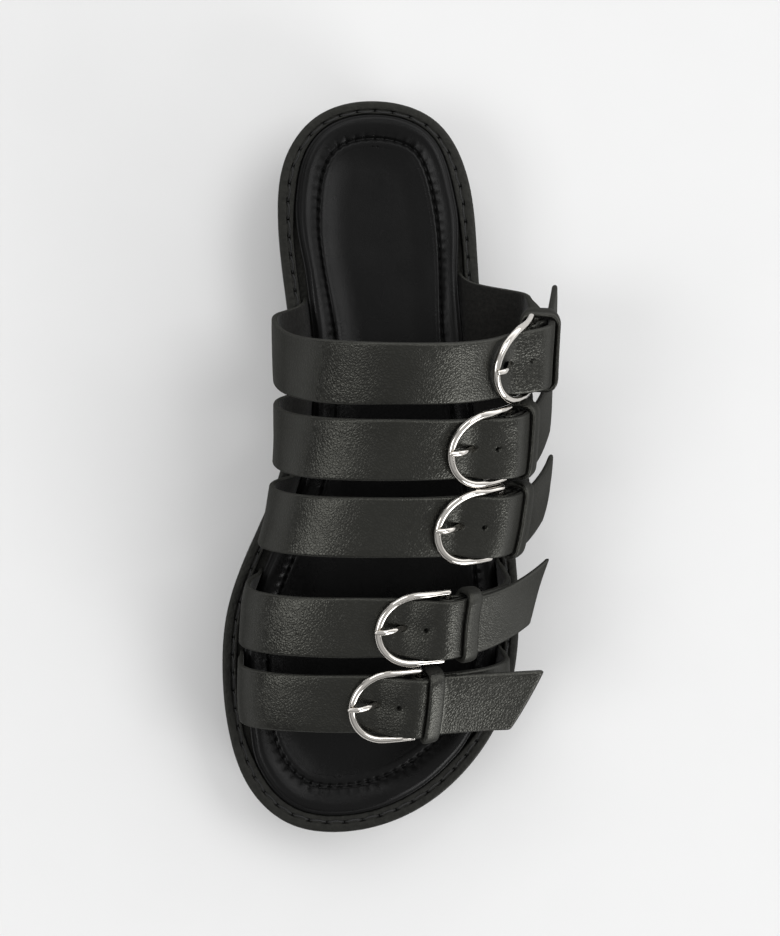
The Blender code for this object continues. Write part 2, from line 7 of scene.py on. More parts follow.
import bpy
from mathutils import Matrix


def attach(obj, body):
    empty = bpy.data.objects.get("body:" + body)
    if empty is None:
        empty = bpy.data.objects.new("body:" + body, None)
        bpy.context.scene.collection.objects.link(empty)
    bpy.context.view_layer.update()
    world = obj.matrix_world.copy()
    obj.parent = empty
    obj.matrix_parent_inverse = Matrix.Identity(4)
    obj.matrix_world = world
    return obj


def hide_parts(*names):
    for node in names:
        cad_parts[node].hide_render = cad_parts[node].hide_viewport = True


# %% [markdown]
# # A slide sandal in black leather
# A shoemaker starts from a last, the wooden foot that the upper is pulled over. This script does
# the same. One closed line gives the sole, one curved surface gives the last, and every strap,
# buckle and loop is a small surface laid on that last. The CAD model holds the same forms with few
# faces; here they get rounded edges, stitches, grain and polish.

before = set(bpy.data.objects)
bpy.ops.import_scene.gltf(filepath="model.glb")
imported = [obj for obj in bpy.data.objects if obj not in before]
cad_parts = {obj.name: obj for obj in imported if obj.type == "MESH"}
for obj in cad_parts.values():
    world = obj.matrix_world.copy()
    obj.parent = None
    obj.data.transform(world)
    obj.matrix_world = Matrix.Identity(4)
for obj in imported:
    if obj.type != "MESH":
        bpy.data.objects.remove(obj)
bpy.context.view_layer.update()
print("CAD nodes:", len(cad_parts))

# %% [markdown]
# ## Tools
# Blender measures in metres, and a shoemaker in millimetres, so there is one number to go from one
# to the other. Random unevenness comes from one seeded generator, so that each run is the same.

# %% Units and tools
import math

import bmesh
import bpy
import numpy as np
from mathutils import Matrix, Vector

MM = 0.001
chance = np.random.default_rng(27)
print("tools ready")

# %% [markdown]
# ## Reading a table as a smooth curve
# A foot or a sole is known at a few measured places. A monotone cubic curve joins them without
# overshooting, so a flat stretch stays flat.


# %% Smooth curve through a table
def read(rows, index, x):
    """Column of a table at x: between two knots, a cubic whose slopes are harmonic means."""
    values = np.array(rows, dtype=float)
    values = values[np.argsort(values[:, 0])]
    knots = values[:, 0]
    heights = values[:, index]
    x = np.asarray(x, dtype=float)
    step = np.diff(knots)
    slope = np.diff(heights) / step
    same_way = slope[:-1] * slope[1:] > 0
    total = np.where(same_way, slope[:-1] + slope[1:], 1.0)
    inner = np.where(same_way, 2 * slope[:-1] * slope[1:] / total, 0.0)
    tangent = np.concatenate([slope[:1], inner, slope[-1:]])
    i = np.clip(np.searchsorted(knots, x) - 1, 0, len(step) - 1)
    t = np.clip((x - knots[i]) / step[i], 0.0, 1.0)
    rise = heights[i + 1] - heights[i]
    start = tangent[i] * step[i]
    end = tangent[i + 1] * step[i]
    return heights[i] + t * start + t * t * (3 * rise - 2 * start - end) + t ** 3 * (start + end - 2 * rise)


def ease(low, high, x):
    """Smooth step: 0 below low, 1 above high, and 3t^2 - 2t^3 between them."""
    t = np.clip((x - low) / (high - low), 0.0, 1.0)
    return t * t * (3 - 2 * t)


print("half-way from 0 to 1:", float(ease(0.0, 1.0, 0.5)))

# %% [markdown]
# ## The sole's outline and its heights
# The outline is one closed curve seen from above: round at the heel, narrow at the waist, wide at
# the ball, and fuller on the little-toe side. The side view is a second table: the tread touches the
# floor under heel and ball, and lifts at the arch and a little at the toe.

# %% Outline and side view of the sole
HEEL_TO_TOE_MEDIAL = ((0.0, 38.0), (-22.8, 31.4), (-33.4, 16.3), (-35.9, -3.0), (-33.6, -29.0),
                      (-31.2, -50.0), (-31.2, -72.0), (-34.8, -95.3), (-47.1, -125.8),
                      (-54.3, -147.3), (-55.9, -168.9), (-53.1, -193.0), (-44.8, -212.8),
                      (-31.5, -223.9))
TOE_TO_HEEL_LATERAL = ((-14.2, -227.1), (0.0, -225.4), (19.5, -217.2), (36.6, -202.0),
                       (47.5, -184.0), (52.8, -160.0), (52.4, -133.0), (48.6, -104.0),
                       (43.2, -72.0), (38.8, -42.0), (36.6, -14.0), (33.3, 10.7), (21.8, 31.0))
# station y, tread z, rim z
SOLE_ROWS = ((-227.0, 7.0, 28.0), (-205.0, 2.4, 25.6), (-180.0, 0.0, 24.3), (-140.0, 0.0, 24.0),
             (-112.0, 0.0, 24.8), (-92.0, 3.6, 26.0), (-66.0, 5.0, 27.4), (-46.0, 2.6, 28.2),
             (-34.0, 0.0, 28.6), (10.0, 0.0, 29.4), (28.0, 0.0, 29.6), (38.0, 1.6, 29.8))
# station y, width of the flat rim, which leaves room for the roots of the straps
RIM_ROWS = ((-227.0, 6.2), (-208.0, 6.4), (-190.0, 5.4), (-17.0, 5.4), (8.0, 6.4), (28.0, 5.4),
            (38.0, 5.0))
RING = 960


def tread_z(y):
    """Height of the tread over the floor at a station."""
    return read(SOLE_ROWS, 1, y)


def rim_z(y):
    """Height of the flat rim over the floor at a station."""
    return read(SOLE_ROWS, 2, y)


print("rim height at toe and heel:", rim_z(-227.0).round(1), "and", rim_z(38.0).round(1), "mm")

# %% [markdown]
# ## One smooth closed line
# A periodic cubic spline joins the outline's points. The line is then cut at the heel's end and at
# the toe's end, and both halves get the same number of evenly spread points. So the ring's point k
# and the point facing it across the sole are easy to pair.


# %% Smooth closed outline
def closed_spline(points, samples=400):
    """Periodic cubic spline over the chord length: bends at the points solve one linear system."""
    points = np.array(points, dtype=float)
    count = len(points)
    following = np.roll(points, -1, axis=0)
    chord = np.linalg.norm(following - points, axis=1)
    before = np.roll(chord, 1)
    matrix = np.diag(2 * (before + chord))
    own = np.arange(count)
    matrix[own, own - 1] += before
    matrix[own, (own + 1) % count] += chord
    slope = (following - points) / chord[:, None]
    bend = np.linalg.solve(matrix, 6 * (slope - np.roll(slope, 1, axis=0)))
    t = np.linspace(0.0, 1.0, samples, endpoint=False)[None, :, None]
    weight = (chord ** 2)[:, None, None] / 6
    curve = (1 - t) * points[:, None] + t * following[:, None]
    curve = curve + weight * (((1 - t) ** 3 - (1 - t)) * bend[:, None]
                              + (t ** 3 - t) * np.roll(bend, -1, axis=0)[:, None])
    return curve.reshape(-1, 2)


def lengths(path):
    """Distance along a path at each of its points."""
    return np.concatenate([[0.0], np.cumsum(np.linalg.norm(np.diff(path, axis=0), axis=1))])


def spread_evenly(path, count):
    """count + 1 points at equal distances along an open path."""
    run = lengths(path)
    wanted = np.linspace(0.0, run[-1], count + 1)
    return np.stack([np.interp(wanted, run, path[:, k]) for k in range(path.shape[1])], axis=1)


def outline():
    """RING points round the rim: the heel's end first, the toe's end half-way."""
    curve = closed_spline(HEEL_TO_TOE_MEDIAL + TOE_TO_HEEL_LATERAL)
    curve = np.roll(curve, -int(np.argmax(curve[:, 1])), axis=0)
    toe = int(np.argmin(curve[:, 1]))
    medial = spread_evenly(curve[:toe + 1], RING // 2)
    lateral = spread_evenly(np.vstack([curve[toe:], curve[:1]]), RING // 2)
    return np.vstack([medial[:-1], lateral[:-1]])


RIM = outline()
RIM_WIDTH = read(RIM_ROWS, 1, RIM[:, 1])
print("sole:", round(float(np.ptp(RIM[:, 0])), 1), "x", round(float(np.ptp(RIM[:, 1])), 1), "mm")

# %% [markdown]
# ## Lines that follow the outline
# Welt, channel, recess and insole all run beside the outline. Each of their lines is the outline
# moved inwards, square to itself, as a shoemaker scribes it with a welt gauge.


# %% Lines inside the outline
def inset(distance):
    """The rim line moved inwards, square to itself; the distance may vary round the ring."""
    along = np.roll(RIM, -1, axis=0) - np.roll(RIM, 1, axis=0)
    along /= np.linalg.norm(along, axis=1)[:, None]
    inward = np.stack([-along[:, 1], along[:, 0]], axis=1)
    return RIM + inward * np.reshape(distance, (-1, 1))


def side_x(y, side, distance):
    """x of the outline moved inwards, at a station; side is -1 medial or 1 lateral."""
    ring = inset(distance)
    half = RING // 2
    part = ring[:half + 1] if side < 0 else np.vstack([ring[half:], ring[:1]])
    part = part[np.argsort(part[:, 1])]
    return np.interp(y, part[:, 1], part[:, 0])


print("waist:", (side_x(-40.0, 1, 0.0) - side_x(-40.0, -1, 0.0)).round(1), "mm wide")

# %% [markdown]
# ## The last
# The last is a surface of two parameters. The first is the station of an arch along the foot. The
# second turns from 0 at the medial root, over 2 at the crown, to 4 at the lateral root. The lower
# parts are Bezier curves that tuck in under the foot's widest line. The upper parts are quarters of
# a superellipse, which is rounder than an ellipse at the shoulder.

# %% The last as a surface
GAP = 0.3
FOOTBED_DEPTH = 3.0
# crown y, medial x and z of the widest line, lateral x and z of it, crown x, crown z
LAST_ROWS = ((-30.0, -37.0, 50.0, 51.5, 47.0, 6.0, 103.0),
             (-65.0, -36.0, 48.0, 51.0, 45.0, 5.0, 88.5),
             (-88.0, -35.6, 48.0, 51.5, 42.0, 4.0, 80.0),
             (-113.0, -38.6, 46.0, 50.0, 41.0, 0.0, 73.0),
             (-148.0, -47.2, 42.0, 43.6, 39.0, -4.0, 65.0),
             (-175.0, -48.2, 39.0, 44.8, 37.0, -6.0, 58.5),
             (-205.0, -44.0, 36.0, 40.0, 34.0, -9.0, 49.0))
# crown y, how far the medial and the lateral root lie to the heel of the crown
LEAN_ROWS = ((-30.0, 22.0, 32.0), (-65.0, 20.0, 29.5), (-88.0, 13.0, 18.0), (-113.0, 7.0, 11.0),
             (-148.0, 6.5, 10.0), (-175.0, 3.0, 4.0), (-205.0, 1.0, 1.0))
LEAN_POWER = (1.5, 1.25)
SHOULDER_POWER = 2.1
ROOT_INSET = 7.8
ROOT_LIFT = FOOTBED_DEPTH - 2 * GAP
ROOT_STRAIGHT = 10.5
FLARE = 0.55


def last(station, turn):
    """Point of the last: a Bezier curve below the widest line, a superellipse above it, leaned back."""
    station, turn = np.broadcast_arrays(np.asarray(station, float), np.asarray(turn, float))
    medial = turn <= 2
    way = np.where(medial, turn, 4 - turn)
    wide_x = np.where(medial, read(LAST_ROWS, 1, station), read(LAST_ROWS, 3, station))
    wide_z = np.where(medial, read(LAST_ROWS, 2, station), read(LAST_ROWS, 4, station))
    crown_x = read(LAST_ROWS, 5, station)
    crown_z = read(LAST_ROWS, 6, station)
    lean = np.where(medial, read(LEAN_ROWS, 1, station), read(LEAN_ROWS, 2, station))
    root_y = station + lean
    root_z = rim_z(root_y) - ROOT_LIFT
    root_x = np.where(medial, side_x(root_y, -1, ROOT_INSET), side_x(root_y, 1, ROOT_INSET))
    t = np.clip(way, 0.0, 1.0)
    first = (1 - t) ** 3 + 3 * (1 - t) ** 2 * t
    low_x = first * root_x + (1 - first) * wide_x
    low_z = ((1 - t) ** 3 * root_z + 3 * (1 - t) ** 2 * t * (root_z + ROOT_STRAIGHT)
             + 3 * (1 - t) * t * t * (wide_z - FLARE * (wide_z - root_z)) + t ** 3 * wide_z)
    angle = np.clip(way - 1, 0.0, 1.0) * math.pi / 2
    high_x = crown_x + (wide_x - crown_x) * np.cos(angle) ** (2 / SHOULDER_POWER)
    high_z = wide_z + (crown_z - wide_z) * np.sin(angle) ** (2 / SHOULDER_POWER)
    x = np.where(way < 1, low_x, high_x)
    z = np.where(way < 1, low_z, high_z)
    power = np.where(medial, LEAN_POWER[0], LEAN_POWER[1])
    y = station + lean * np.maximum((crown_z - z) / (crown_z - root_z), 0.0) ** power
    return np.stack([x, y, z], axis=-1)


print("crown over the instep:", last(-63.8, 2.0).round(1))

# %% [markdown]
# ## A strip on the last
# Each strap has its own ruler. `u` is the distance along it, measured from the bar of its buckle,
# `v` the distance across it towards the heel, and `h` the height off the last. With that ruler the
# strap, its tab, keeper, buckle and prong can't drift apart.


# %% Rulers for the straps
class Strip:
    """Place on the last by distances: u along from the bar, v across to the heel, h off it."""

    def __init__(self, name, station, bar_x, tail, swing, rise, keeper_start, bulge):
        self.name = name
        self.station = station
        self.tail = tail
        self.swing = swing
        self.rise = rise
        self.keeper_start = keeper_start
        self.bulge = bulge
        self.turn = np.linspace(0.0, 4.0, 1601)
        middle = last(station, self.turn)
        self.run = lengths(middle)
        along = np.gradient(middle, self.run, axis=0)
        along /= np.linalg.norm(along, axis=1)[:, None]
        across = last(station + 1.0, self.turn) - middle
        across -= (across * along).sum(axis=1)[:, None] * along
        self.stretch = 1.0 / np.linalg.norm(across, axis=1)
        crown = int(np.argmax(middle[:, 2]))
        widest = crown + int(np.argmax(middle[crown:, 0]))
        zero = float(np.interp(bar_x, middle[crown:widest, 0], self.run[crown:widest]))
        self.low = -zero
        self.high = self.run[-1] - zero

    def surface(self, u, v):
        """Point of the last itself."""
        run = np.clip(u - self.low, 0.0, self.run[-1])
        stretch = np.interp(run, self.run, self.stretch)
        return last(self.station + v * stretch, np.interp(run, self.run, self.turn))

    def axes(self, u, v, step=0.8):
        """Directions along, across and off the last, from neighbouring points."""
        along = self.surface(u + step, v) - self.surface(u - step, v)
        along /= np.linalg.norm(along, axis=-1)[..., None]
        across = self.surface(u, v + step) - self.surface(u, v - step)
        off = np.cross(along, across)
        off /= np.linalg.norm(off, axis=-1)[..., None]
        return along, np.cross(off, along), off

    def point(self, u, v, h):
        """Point h off the last: the surface point plus h times its normal."""
        u, v, h = np.broadcast_arrays(*(np.asarray(value, float) for value in (u, v, h)))
        return self.surface(u, v) + self.axes(u, v)[2] * h[..., None]


# name, crown station y, x of the bar, tail length past the bar, swing and rise of its end,
# keeper's start, bulge over the bar
STRAP_ROWS = (("1", -63.8, 46.0, 32.0, 1.0, 0.0, 2.2, 3.0),
              ("2", -88.4, 38.5, 35.0, 9.0, -3.0, 4.4, 1.0),
              ("3", -114.1, 36.0, 35.0, 6.5, -2.0, 6.0, 0.5),
              ("4", -148.2, 18.8, 42.0, 6.5, -5.0, 5.2, 0.0),
              ("5", -174.8, 10.8, 39.5, 0.0, 1.0, 2.0, 0.0))
STRIPS = [Strip(*row) for row in STRAP_ROWS]
for strip in STRIPS:
    print("strap", strip.name, "runs", round(float(-strip.low)), "mm from its root to its bar")

# %% [markdown]
# ## From a grid of points to a mesh
# Every new surface is a grid: rows along it, columns across. The grid can be closed into a tube or
# a ring, and a tube's ends get a fan of triangles. Blender needs the corner numbers of each face,
# which numpy counts for the whole grid at once. If the enclosed volume comes out negative, the
# faces look inwards and are turned round. Each face corner also gets its place in millimetres as a
# UV map, for patterns that follow the surface.


# %% Grids into meshes
SHARP_ANGLE = math.radians(50)


def patch(points, around_rows=False, around_columns=True, caps=True, finish=0):
    """One grid: faces join neighbours i, j; i + 1, j; i + 1, j + 1; i, j + 1."""
    points = np.asarray(points, float)
    rows, columns = points.shape[:2]
    i = np.arange(rows if around_rows else rows - 1)[:, None]
    j = np.arange(columns if around_columns else columns - 1)[None, :]
    down = np.linalg.norm(np.roll(points, -1, axis=0) - points, axis=2).mean(axis=1)
    over = np.linalg.norm(np.roll(points, -1, axis=1) - points, axis=2).mean(axis=0)
    down = np.concatenate([[0.0], np.cumsum(down)])
    over = np.concatenate([[0.0], np.cumsum(over)])
    corners = []
    places = []
    for di, dj in ((0, 0), (1, 0), (1, 1), (0, 1)):
        corners.append((i + di) % rows * columns + (j + dj) % columns)
        places.append(np.stack(np.broadcast_arrays(down[i + di], over[j + dj]), axis=-1))
    quads = np.stack(corners, axis=-1).reshape(-1, 4)
    uv = np.stack(places, axis=2).reshape(-1, 2)
    finish = np.broadcast_to(finish, (len(i), j.shape[1])).ravel()
    flat = points.reshape(-1, 3)
    fans = np.zeros((0, 3), int)
    if caps and around_columns and not around_rows:
        ring = np.arange(columns)
        after = (ring + 1) % columns
        base = (rows - 1) * columns
        start = np.stack([after, ring, np.full(columns, len(flat))], axis=1)[:, ::-1]
        end = np.stack([base + ring, base + after, np.full(columns, len(flat) + 1)], axis=1)[:, ::-1]
        flat = np.vstack([flat, points[0].mean(axis=0), points[-1].mean(axis=0)])
        fans = np.vstack([start, end])
    return {"points": flat, "quads": quads, "uv": uv, "fans": fans, "finish": finish}


def outward(piece):
    """Turns a patch's faces round where the volume they enclose, summed over triangles, is negative."""
    points, quads, fans = piece["points"], piece["quads"], piece["fans"]
    triangles = np.vstack([quads[:, [0, 1, 2]], quads[:, [0, 2, 3]], fans])
    a, b, c = (points[triangles[:, k]] for k in range(3))
    if np.einsum("ij,ij->", a, np.cross(b, c)) < 0:
        piece["quads"] = quads[:, ::-1]
        piece["uv"] = piece["uv"].reshape(-1, 4, 2)[:, ::-1].reshape(-1, 2)
        piece["fans"] = fans[:, ::-1]
    return piece


def add_piece(name, patches, materials):
    """Mesh object from patches, with its UV map in millimetres and its materials."""
    points, faces, uv, finish, first = [], [], [], [], 0
    for one in patches:
        one = outward(one)
        points.append(one["points"])
        faces += (one["quads"] + first).tolist() + (one["fans"] + first).tolist()
        uv += [one["uv"], np.zeros((3 * len(one["fans"]), 2))]
        finish += [one["finish"], np.zeros(len(one["fans"]), int)]
        first += len(one["points"])
    mesh = bpy.data.meshes.new(name)
    mesh.from_pydata((np.vstack(points) * MM).tolist(), [], faces)
    mesh.uv_layers.new(name="millimetres").data.foreach_set("uv", np.vstack(uv).ravel())
    mesh.polygons.foreach_set("material_index", np.concatenate(finish).astype(np.int32))
    for material in materials:
        mesh.materials.append(material)
    mesh.update()
    mesh.shade_smooth()
    mesh.set_sharp_from_angle(angle=SHARP_ANGLE)
    made = bpy.data.objects.new(name, mesh)
    bpy.context.scene.collection.objects.link(made)
    print(name, len(faces), "faces")
    return made


def rounded_bar(width, thickness, radius, flat_steps=12, turn_steps=5):
    """Closed section of a flat bar: two straight runs and four quarter circles; (v, h) from h = 0."""
    half = width / 2 - radius
    angle = np.linspace(0.0, math.pi / 2, turn_steps + 1)[1:-1]
    run = np.linspace(-half, half, flat_steps + 1)
    bottom = np.stack([run, np.zeros_like(run)], axis=1)
    rise = np.linspace(radius, thickness - radius, 3)
    low = np.stack([half + radius * np.sin(angle), radius - radius * np.cos(angle)], axis=1)
    edge = np.stack([np.full(3, width / 2), rise], axis=1)
    quarter = np.vstack([low, edge, (low * (1, -1) + (0, thickness))[::-1]])
    top = (bottom * (-1, 1)) + (0, thickness)
    other = (quarter * (-1, -1)) + (0, thickness)
    return np.vstack([bottom, quarter, top, other])


print("section of a flat bar:", len(rounded_bar(20.8, 2.3, 0.8)), "points")

# %% [markdown]
# ## One function for nodes
# A material is a small network. One function adds a node, sets it and links it, so that the
# materials below read like recipes. Colours are written as on a web page and turned to the linear
# values that light adds up in.


# %% Nodes and colours
def linear(code):
    """sRGB hex to linear: v / 12.92 below 0.04045, else ((v + 0.055) / 1.055) to the power 2.4."""
    value = np.array([int(code[k:k + 2], 16) for k in (1, 3, 5)]) / 255
    value = np.where(value <= 0.04045, value / 12.92, ((value + 0.055) / 1.055) ** 2.4)
    return (*value.tolist(), 1.0)


def add_node(tree, kind, inputs=None, **settings):
    """Adds a node; an input is a plain value, or the output that feeds it."""
    node = tree.nodes.new("ShaderNode" + kind)
    for key, value in settings.items():
        setattr(node, key, value)
    for socket, value in (inputs or {}).items():
        if isinstance(value, bpy.types.NodeSocket):
            tree.links.new(value, node.inputs[socket])
        else:
            node.inputs[socket].default_value = value
    return node


def new_finish(name, **sockets):
    """A Principled material; sockets are its plain values, with _ for a space."""
    material = bpy.data.materials.new(name)
    material.use_nodes = True
    tree = material.node_tree
    shader = tree.nodes["Principled BSDF"]
    for key, value in sockets.items():
        shader.inputs[key.replace("_", " ")].default_value = value
    return material, tree, shader


def per_mm(size):
    """Scale of a texture on Object coordinates, which are metres, for features of this many mm."""
    return 1.0 / (size * MM)


print("mid grey is", round(linear("#808080")[0], 3))

# %% [markdown]
# ## Grained leather
# The straps are nappa, a soft chrome-tanned hide whose grain is a net of fine creases round small
# pebbles. A Voronoi texture gives such a net. Noise bends it first, so that no cell is regular. The
# creases get a darker base colour, painted shade for the little light that gets into them. The gloss
# drifts a little, as it does with handling, and is duller where the leather turns away from the eye.


# %% Grained leather for straps, tabs and keepers
def leather(name, pebble, painted_crease_shade, grain, depth, rough, specular, tint):
    """Leather with pebbles of grain mm, creases of depth mm painted darker as shade, and a roughness that
    drifts a little.
    """
    material, tree, shader = new_finish(name, Specular_IOR_Level=specular, Specular_Tint=linear(tint))
    place = add_node(tree, "TexCoord").outputs["Object"]
    drift = add_node(tree, "TexNoise", {"Vector": place, "Scale": per_mm(3.0), "Detail": 2.0})
    bent = add_node(tree, "VectorMath", {0: drift.outputs["Color"], 1: (0.5, 0.5, 0.5)},
                    operation="SUBTRACT")
    bent = add_node(tree, "VectorMath", {0: bent.outputs[0], "Scale": 1.1 * MM}, operation="SCALE")
    bent = add_node(tree, "VectorMath", {0: place, 1: bent.outputs[0]}, operation="ADD")
    net = add_node(tree, "TexVoronoi", {"Vector": bent.outputs[0], "Scale": per_mm(grain)},
                   feature="DISTANCE_TO_EDGE")
    raised = add_node(tree, "MapRange", {"Value": net.outputs["Distance"], "From Max": 0.3})
    fold = add_node(tree, "TexNoise", {"Vector": bent.outputs[0], "Scale": per_mm(1.7 * grain),
                                       "Detail": 2.0, "Roughness": 0.5})
    height = add_node(tree, "Math", {0: raised.outputs[0], 1: 0.55}, operation="MULTIPLY")
    height = add_node(tree, "Math", {0: fold.outputs["Fac"], 1: 0.5, 2: height.outputs[0]},
                      operation="MULTIPLY_ADD")
    bump = add_node(tree, "Bump", {"Height": height.outputs[0], "Strength": 1.0,
                                   "Distance": depth * MM})
    # painted shade: the creases between the pebbles take the darker crease colour
    tone = add_node(tree, "Mix", {"Factor": raised.outputs[0], 6: linear(painted_crease_shade),
                                  7: linear(pebble)}, data_type="RGBA")
    wide = add_node(tree, "TexNoise", {"Vector": place, "Scale": per_mm(14.0), "Detail": 1.0})
    gloss = add_node(tree, "MapRange", {"Value": wide.outputs["Fac"], "From Min": 0.3,
                                        "From Max": 0.7, "To Min": rough - 0.04,
                                        "To Max": rough + 0.05})
    slant = add_node(tree, "LayerWeight", {"Blend": 0.5})
    dull = add_node(tree, "MapRange", {"Value": slant.outputs["Facing"], "From Min": 0.22,
                                       "From Max": 0.6, "To Max": 0.95 - rough})
    gloss = add_node(tree, "Math", {0: gloss.outputs[0], 1: dull.outputs[0]}, operation="ADD")
    tree.links.new(tone.outputs[2], shader.inputs["Base Color"])
    tree.links.new(gloss.outputs[0], shader.inputs["Roughness"])
    tree.links.new(bump.outputs[0], shader.inputs["Normal"])
    return material


# the crease colour is painted shade in the grain's creases
NAPPA = leather("grained_nappa_leather", pebble="#121211", painted_crease_shade="#030303", grain=1.0, depth=0.085,
                rough=0.30, specular=0.45, tint="#FFFFF2")
print("leather:", NAPPA.name)

# %% [markdown]
# ## Smooth leather for the footbed
# The insole cover is a thinner, smoother calf leather. Its pores are finer than the straps' grain
# and almost flat, so the roll shows long soft reflections.

# %% Smooth leather for the footbed
# the crease colour is painted shade in the pores' creases
CALF = leather("smooth_calf_leather", pebble="#0A0A0A", painted_crease_shade="#080808", grain=0.5, depth=0.03,
               rough=0.28, specular=0.14, tint="#FFFFFF")
print("leather:", CALF.name)

# %% [markdown]
# ## Suede lining
# The straps are lined with the flesh side of a split hide. Its nap scatters light, so it looks
# mottled and never shines.

# %% Suede lining
LINING, tree, shader = new_finish("suede_split_lining", Roughness=0.92, Sheen_Weight=0.1,
                                  Sheen_Roughness=0.5, Specular_IOR_Level=0.12)
place = add_node(tree, "TexCoord").outputs["Object"]
nap = add_node(tree, "TexNoise", {"Vector": place, "Scale": per_mm(1.2), "Detail": 6.0,
                                  "Roughness": 0.7})
tone = add_node(tree, "ValToRGB", {"Fac": nap.outputs["Fac"]})
tone.color_ramp.elements[0].position = 0.3
tone.color_ramp.elements[0].color = linear("#090908")
tone.color_ramp.elements[1].position = 0.75
tone.color_ramp.elements[1].color = linear("#1F1E1C")
bump = add_node(tree, "Bump", {"Height": nap.outputs["Fac"], "Strength": 1.0,
                               "Distance": 0.25 * MM})
tree.links.new(tone.outputs["Color"], shader.inputs["Base Color"])
tree.links.new(bump.outputs[0], shader.inputs["Normal"])
print("lining:", LINING.name)

# %% [markdown]
# ## Moulded rubber
# The sole is injection-moulded rubber. The mould was blasted with grit, which leaves an even stipple,
# drawn here a little coarser than it is, so that it shows. The rubber is matt with a weak grey
# gloss, and its black is a little cloudy.

# %% Moulded rubber
RUBBER, tree, shader = new_finish("moulded_rubber", Roughness=0.5, Specular_IOR_Level=0.24,
                                  Specular_Tint=linear("#FFFFF4"))
place = add_node(tree, "TexCoord").outputs["Object"]
stipple = add_node(tree, "TexNoise", {"Vector": place, "Scale": per_mm(1.3), "Detail": 3.0})
cloud = add_node(tree, "TexNoise", {"Vector": place, "Scale": per_mm(2.2), "Detail": 4.0})
tone = add_node(tree, "ValToRGB", {"Fac": cloud.outputs["Fac"]})
tone.color_ramp.elements[0].position = 0.35
tone.color_ramp.elements[0].color = linear("#070707")
tone.color_ramp.elements[1].position = 0.7
tone.color_ramp.elements[1].color = linear("#161615")
bump = add_node(tree, "Bump", {"Height": stipple.outputs["Fac"], "Strength": 0.8,
                               "Distance": 0.35 * MM})
tree.links.new(tone.outputs["Color"], shader.inputs["Base Color"])
tree.links.new(bump.outputs[0], shader.inputs["Normal"])
print("rubber:", RUBBER.name)

# %% [markdown]
# ## Polished nickel
# The buckles are cast, tumbled smooth and nickel-plated. Nickel is a slightly warm white metal. A
# faint uneven gloss from handling keeps the mirror from looking like glass.

# %% Polished nickel
NICKEL, tree, shader = new_finish("polished_nickel_plate", Base_Color=linear("#CAC6C0"), Metallic=1.0)
place = add_node(tree, "TexCoord").outputs["Object"]
smear = add_node(tree, "TexNoise", {"Vector": place, "Scale": per_mm(2.5), "Detail": 5.0})
gloss = add_node(tree, "MapRange", {"Value": smear.outputs["Fac"], "From Min": 0.35, "From Max": 0.7,
                                    "To Min": 0.06, "To Max": 0.13})
tree.links.new(gloss.outputs[0], shader.inputs["Roughness"])
print("metal:", NICKEL.name)

# %% [markdown]
# ## Waxed thread
# The sole is stitched with thick waxed polyester thread. Its twist shows as slanted ridges, drawn
# here on the thread's own UV map and a little coarser than they are.

# %% Waxed thread
THREAD, tree, shader = new_finish("waxed_polyester_thread", Base_Color=linear("#0B0B0B"),
                                  Roughness=0.7)
place = add_node(tree, "UVMap", uv_map="millimetres").outputs[0]
slant = add_node(tree, "Mapping", {"Vector": place, "Rotation": (0.0, 0.0, math.radians(35))})
# a wave texture repeats every 2 pi / (20 * scale), which is 0.7 of a millimetre here
twist = add_node(tree, "TexWave", {"Vector": slant.outputs[0], "Scale": 0.45})
bump = add_node(tree, "Bump", {"Height": twist.outputs["Fac"], "Strength": 0.8,
                               "Distance": 0.1 * MM})
tree.links.new(bump.outputs[0], shader.inputs["Normal"])
print("thread:", THREAD.name)

# %% [markdown]
# ## Outsole
# The sole is one moulded cup. Going round its skin from below, there are the tread, a softly rolled
# lower edge, the side wall, a welt that stands out like a lip, the flat rim with a channel for the
# stitches, and the recess where the insole lies. Each of these is a ring, the rim line moved
# inwards, and the surface joins ring to ring. The needle leaves a pit in the channel for every
# stitch.

# %% Rings of the outsole
STITCH_LINE = 3.6
STITCH_PITCH = 6.5
PIT_DEPTH = 1.1
PIT_SHARPNESS = 6
# distance inside the rim line, height over the tread
LOWER_LOOPS = ((4.0, 0.0), (3.2, 0.06), (2.6, 0.3), (2.1, 0.7), (1.7, 1.25), (1.45, 2.0), (1.35, 3.2))
# distance inside the rim line, height over the rim
WELT_LOOPS = ((1.2, -9.0), (1.2, -6.4), (1.15, -5.85), (0.7, -5.5), (0.2, -5.25), (0.02, -4.9),
              (0.0, -3.6), (0.0, -1.3), (0.06, -0.75), (0.25, -0.35), (0.6, -0.1), (1.1, 0.0),
              (2.7, 0.0), (3.0, -0.07))
CHANNEL_LOOPS = ((STITCH_LINE - 0.35, -0.27), (STITCH_LINE, -0.4), (STITCH_LINE + 0.35, -0.27))
FLAT_RIM_LOOPS = ((4.2, -0.07), (4.5, 0.0))
# distance past the flat rim, height over the rim
RECESS_LOOPS = ((-0.75, 0.0), (-0.4, -0.06), (-0.12, -0.3), (0.0, -0.8), (0.0, -FOOTBED_DEPTH))


def ring_at(distance, height):
    """Ring inside the rim line; height is a function of the station y."""
    flat = inset(distance)
    return np.column_stack([flat, height(flat[:, 1])])


def stacked(*groups):
    """Rings of several loop tables, one above the other: (loops, base inset, height function)."""
    rings = []
    for loops, base, level in groups:
        for distance, up in loops:
            rings.append(ring_at(base + distance, lambda y, up=up: level(y) + up))
    return np.array(rings)


def pits(line, pitch):
    """One along a line at every whole multiple of the pitch, and near zero between them."""
    run = lengths(np.vstack([line, line[:1]]))
    turns = round(run[-1] / pitch)
    return np.maximum(np.cos(2 * math.pi * turns * run[:-1] / run[-1]), 0.0) ** PIT_SHARPNESS


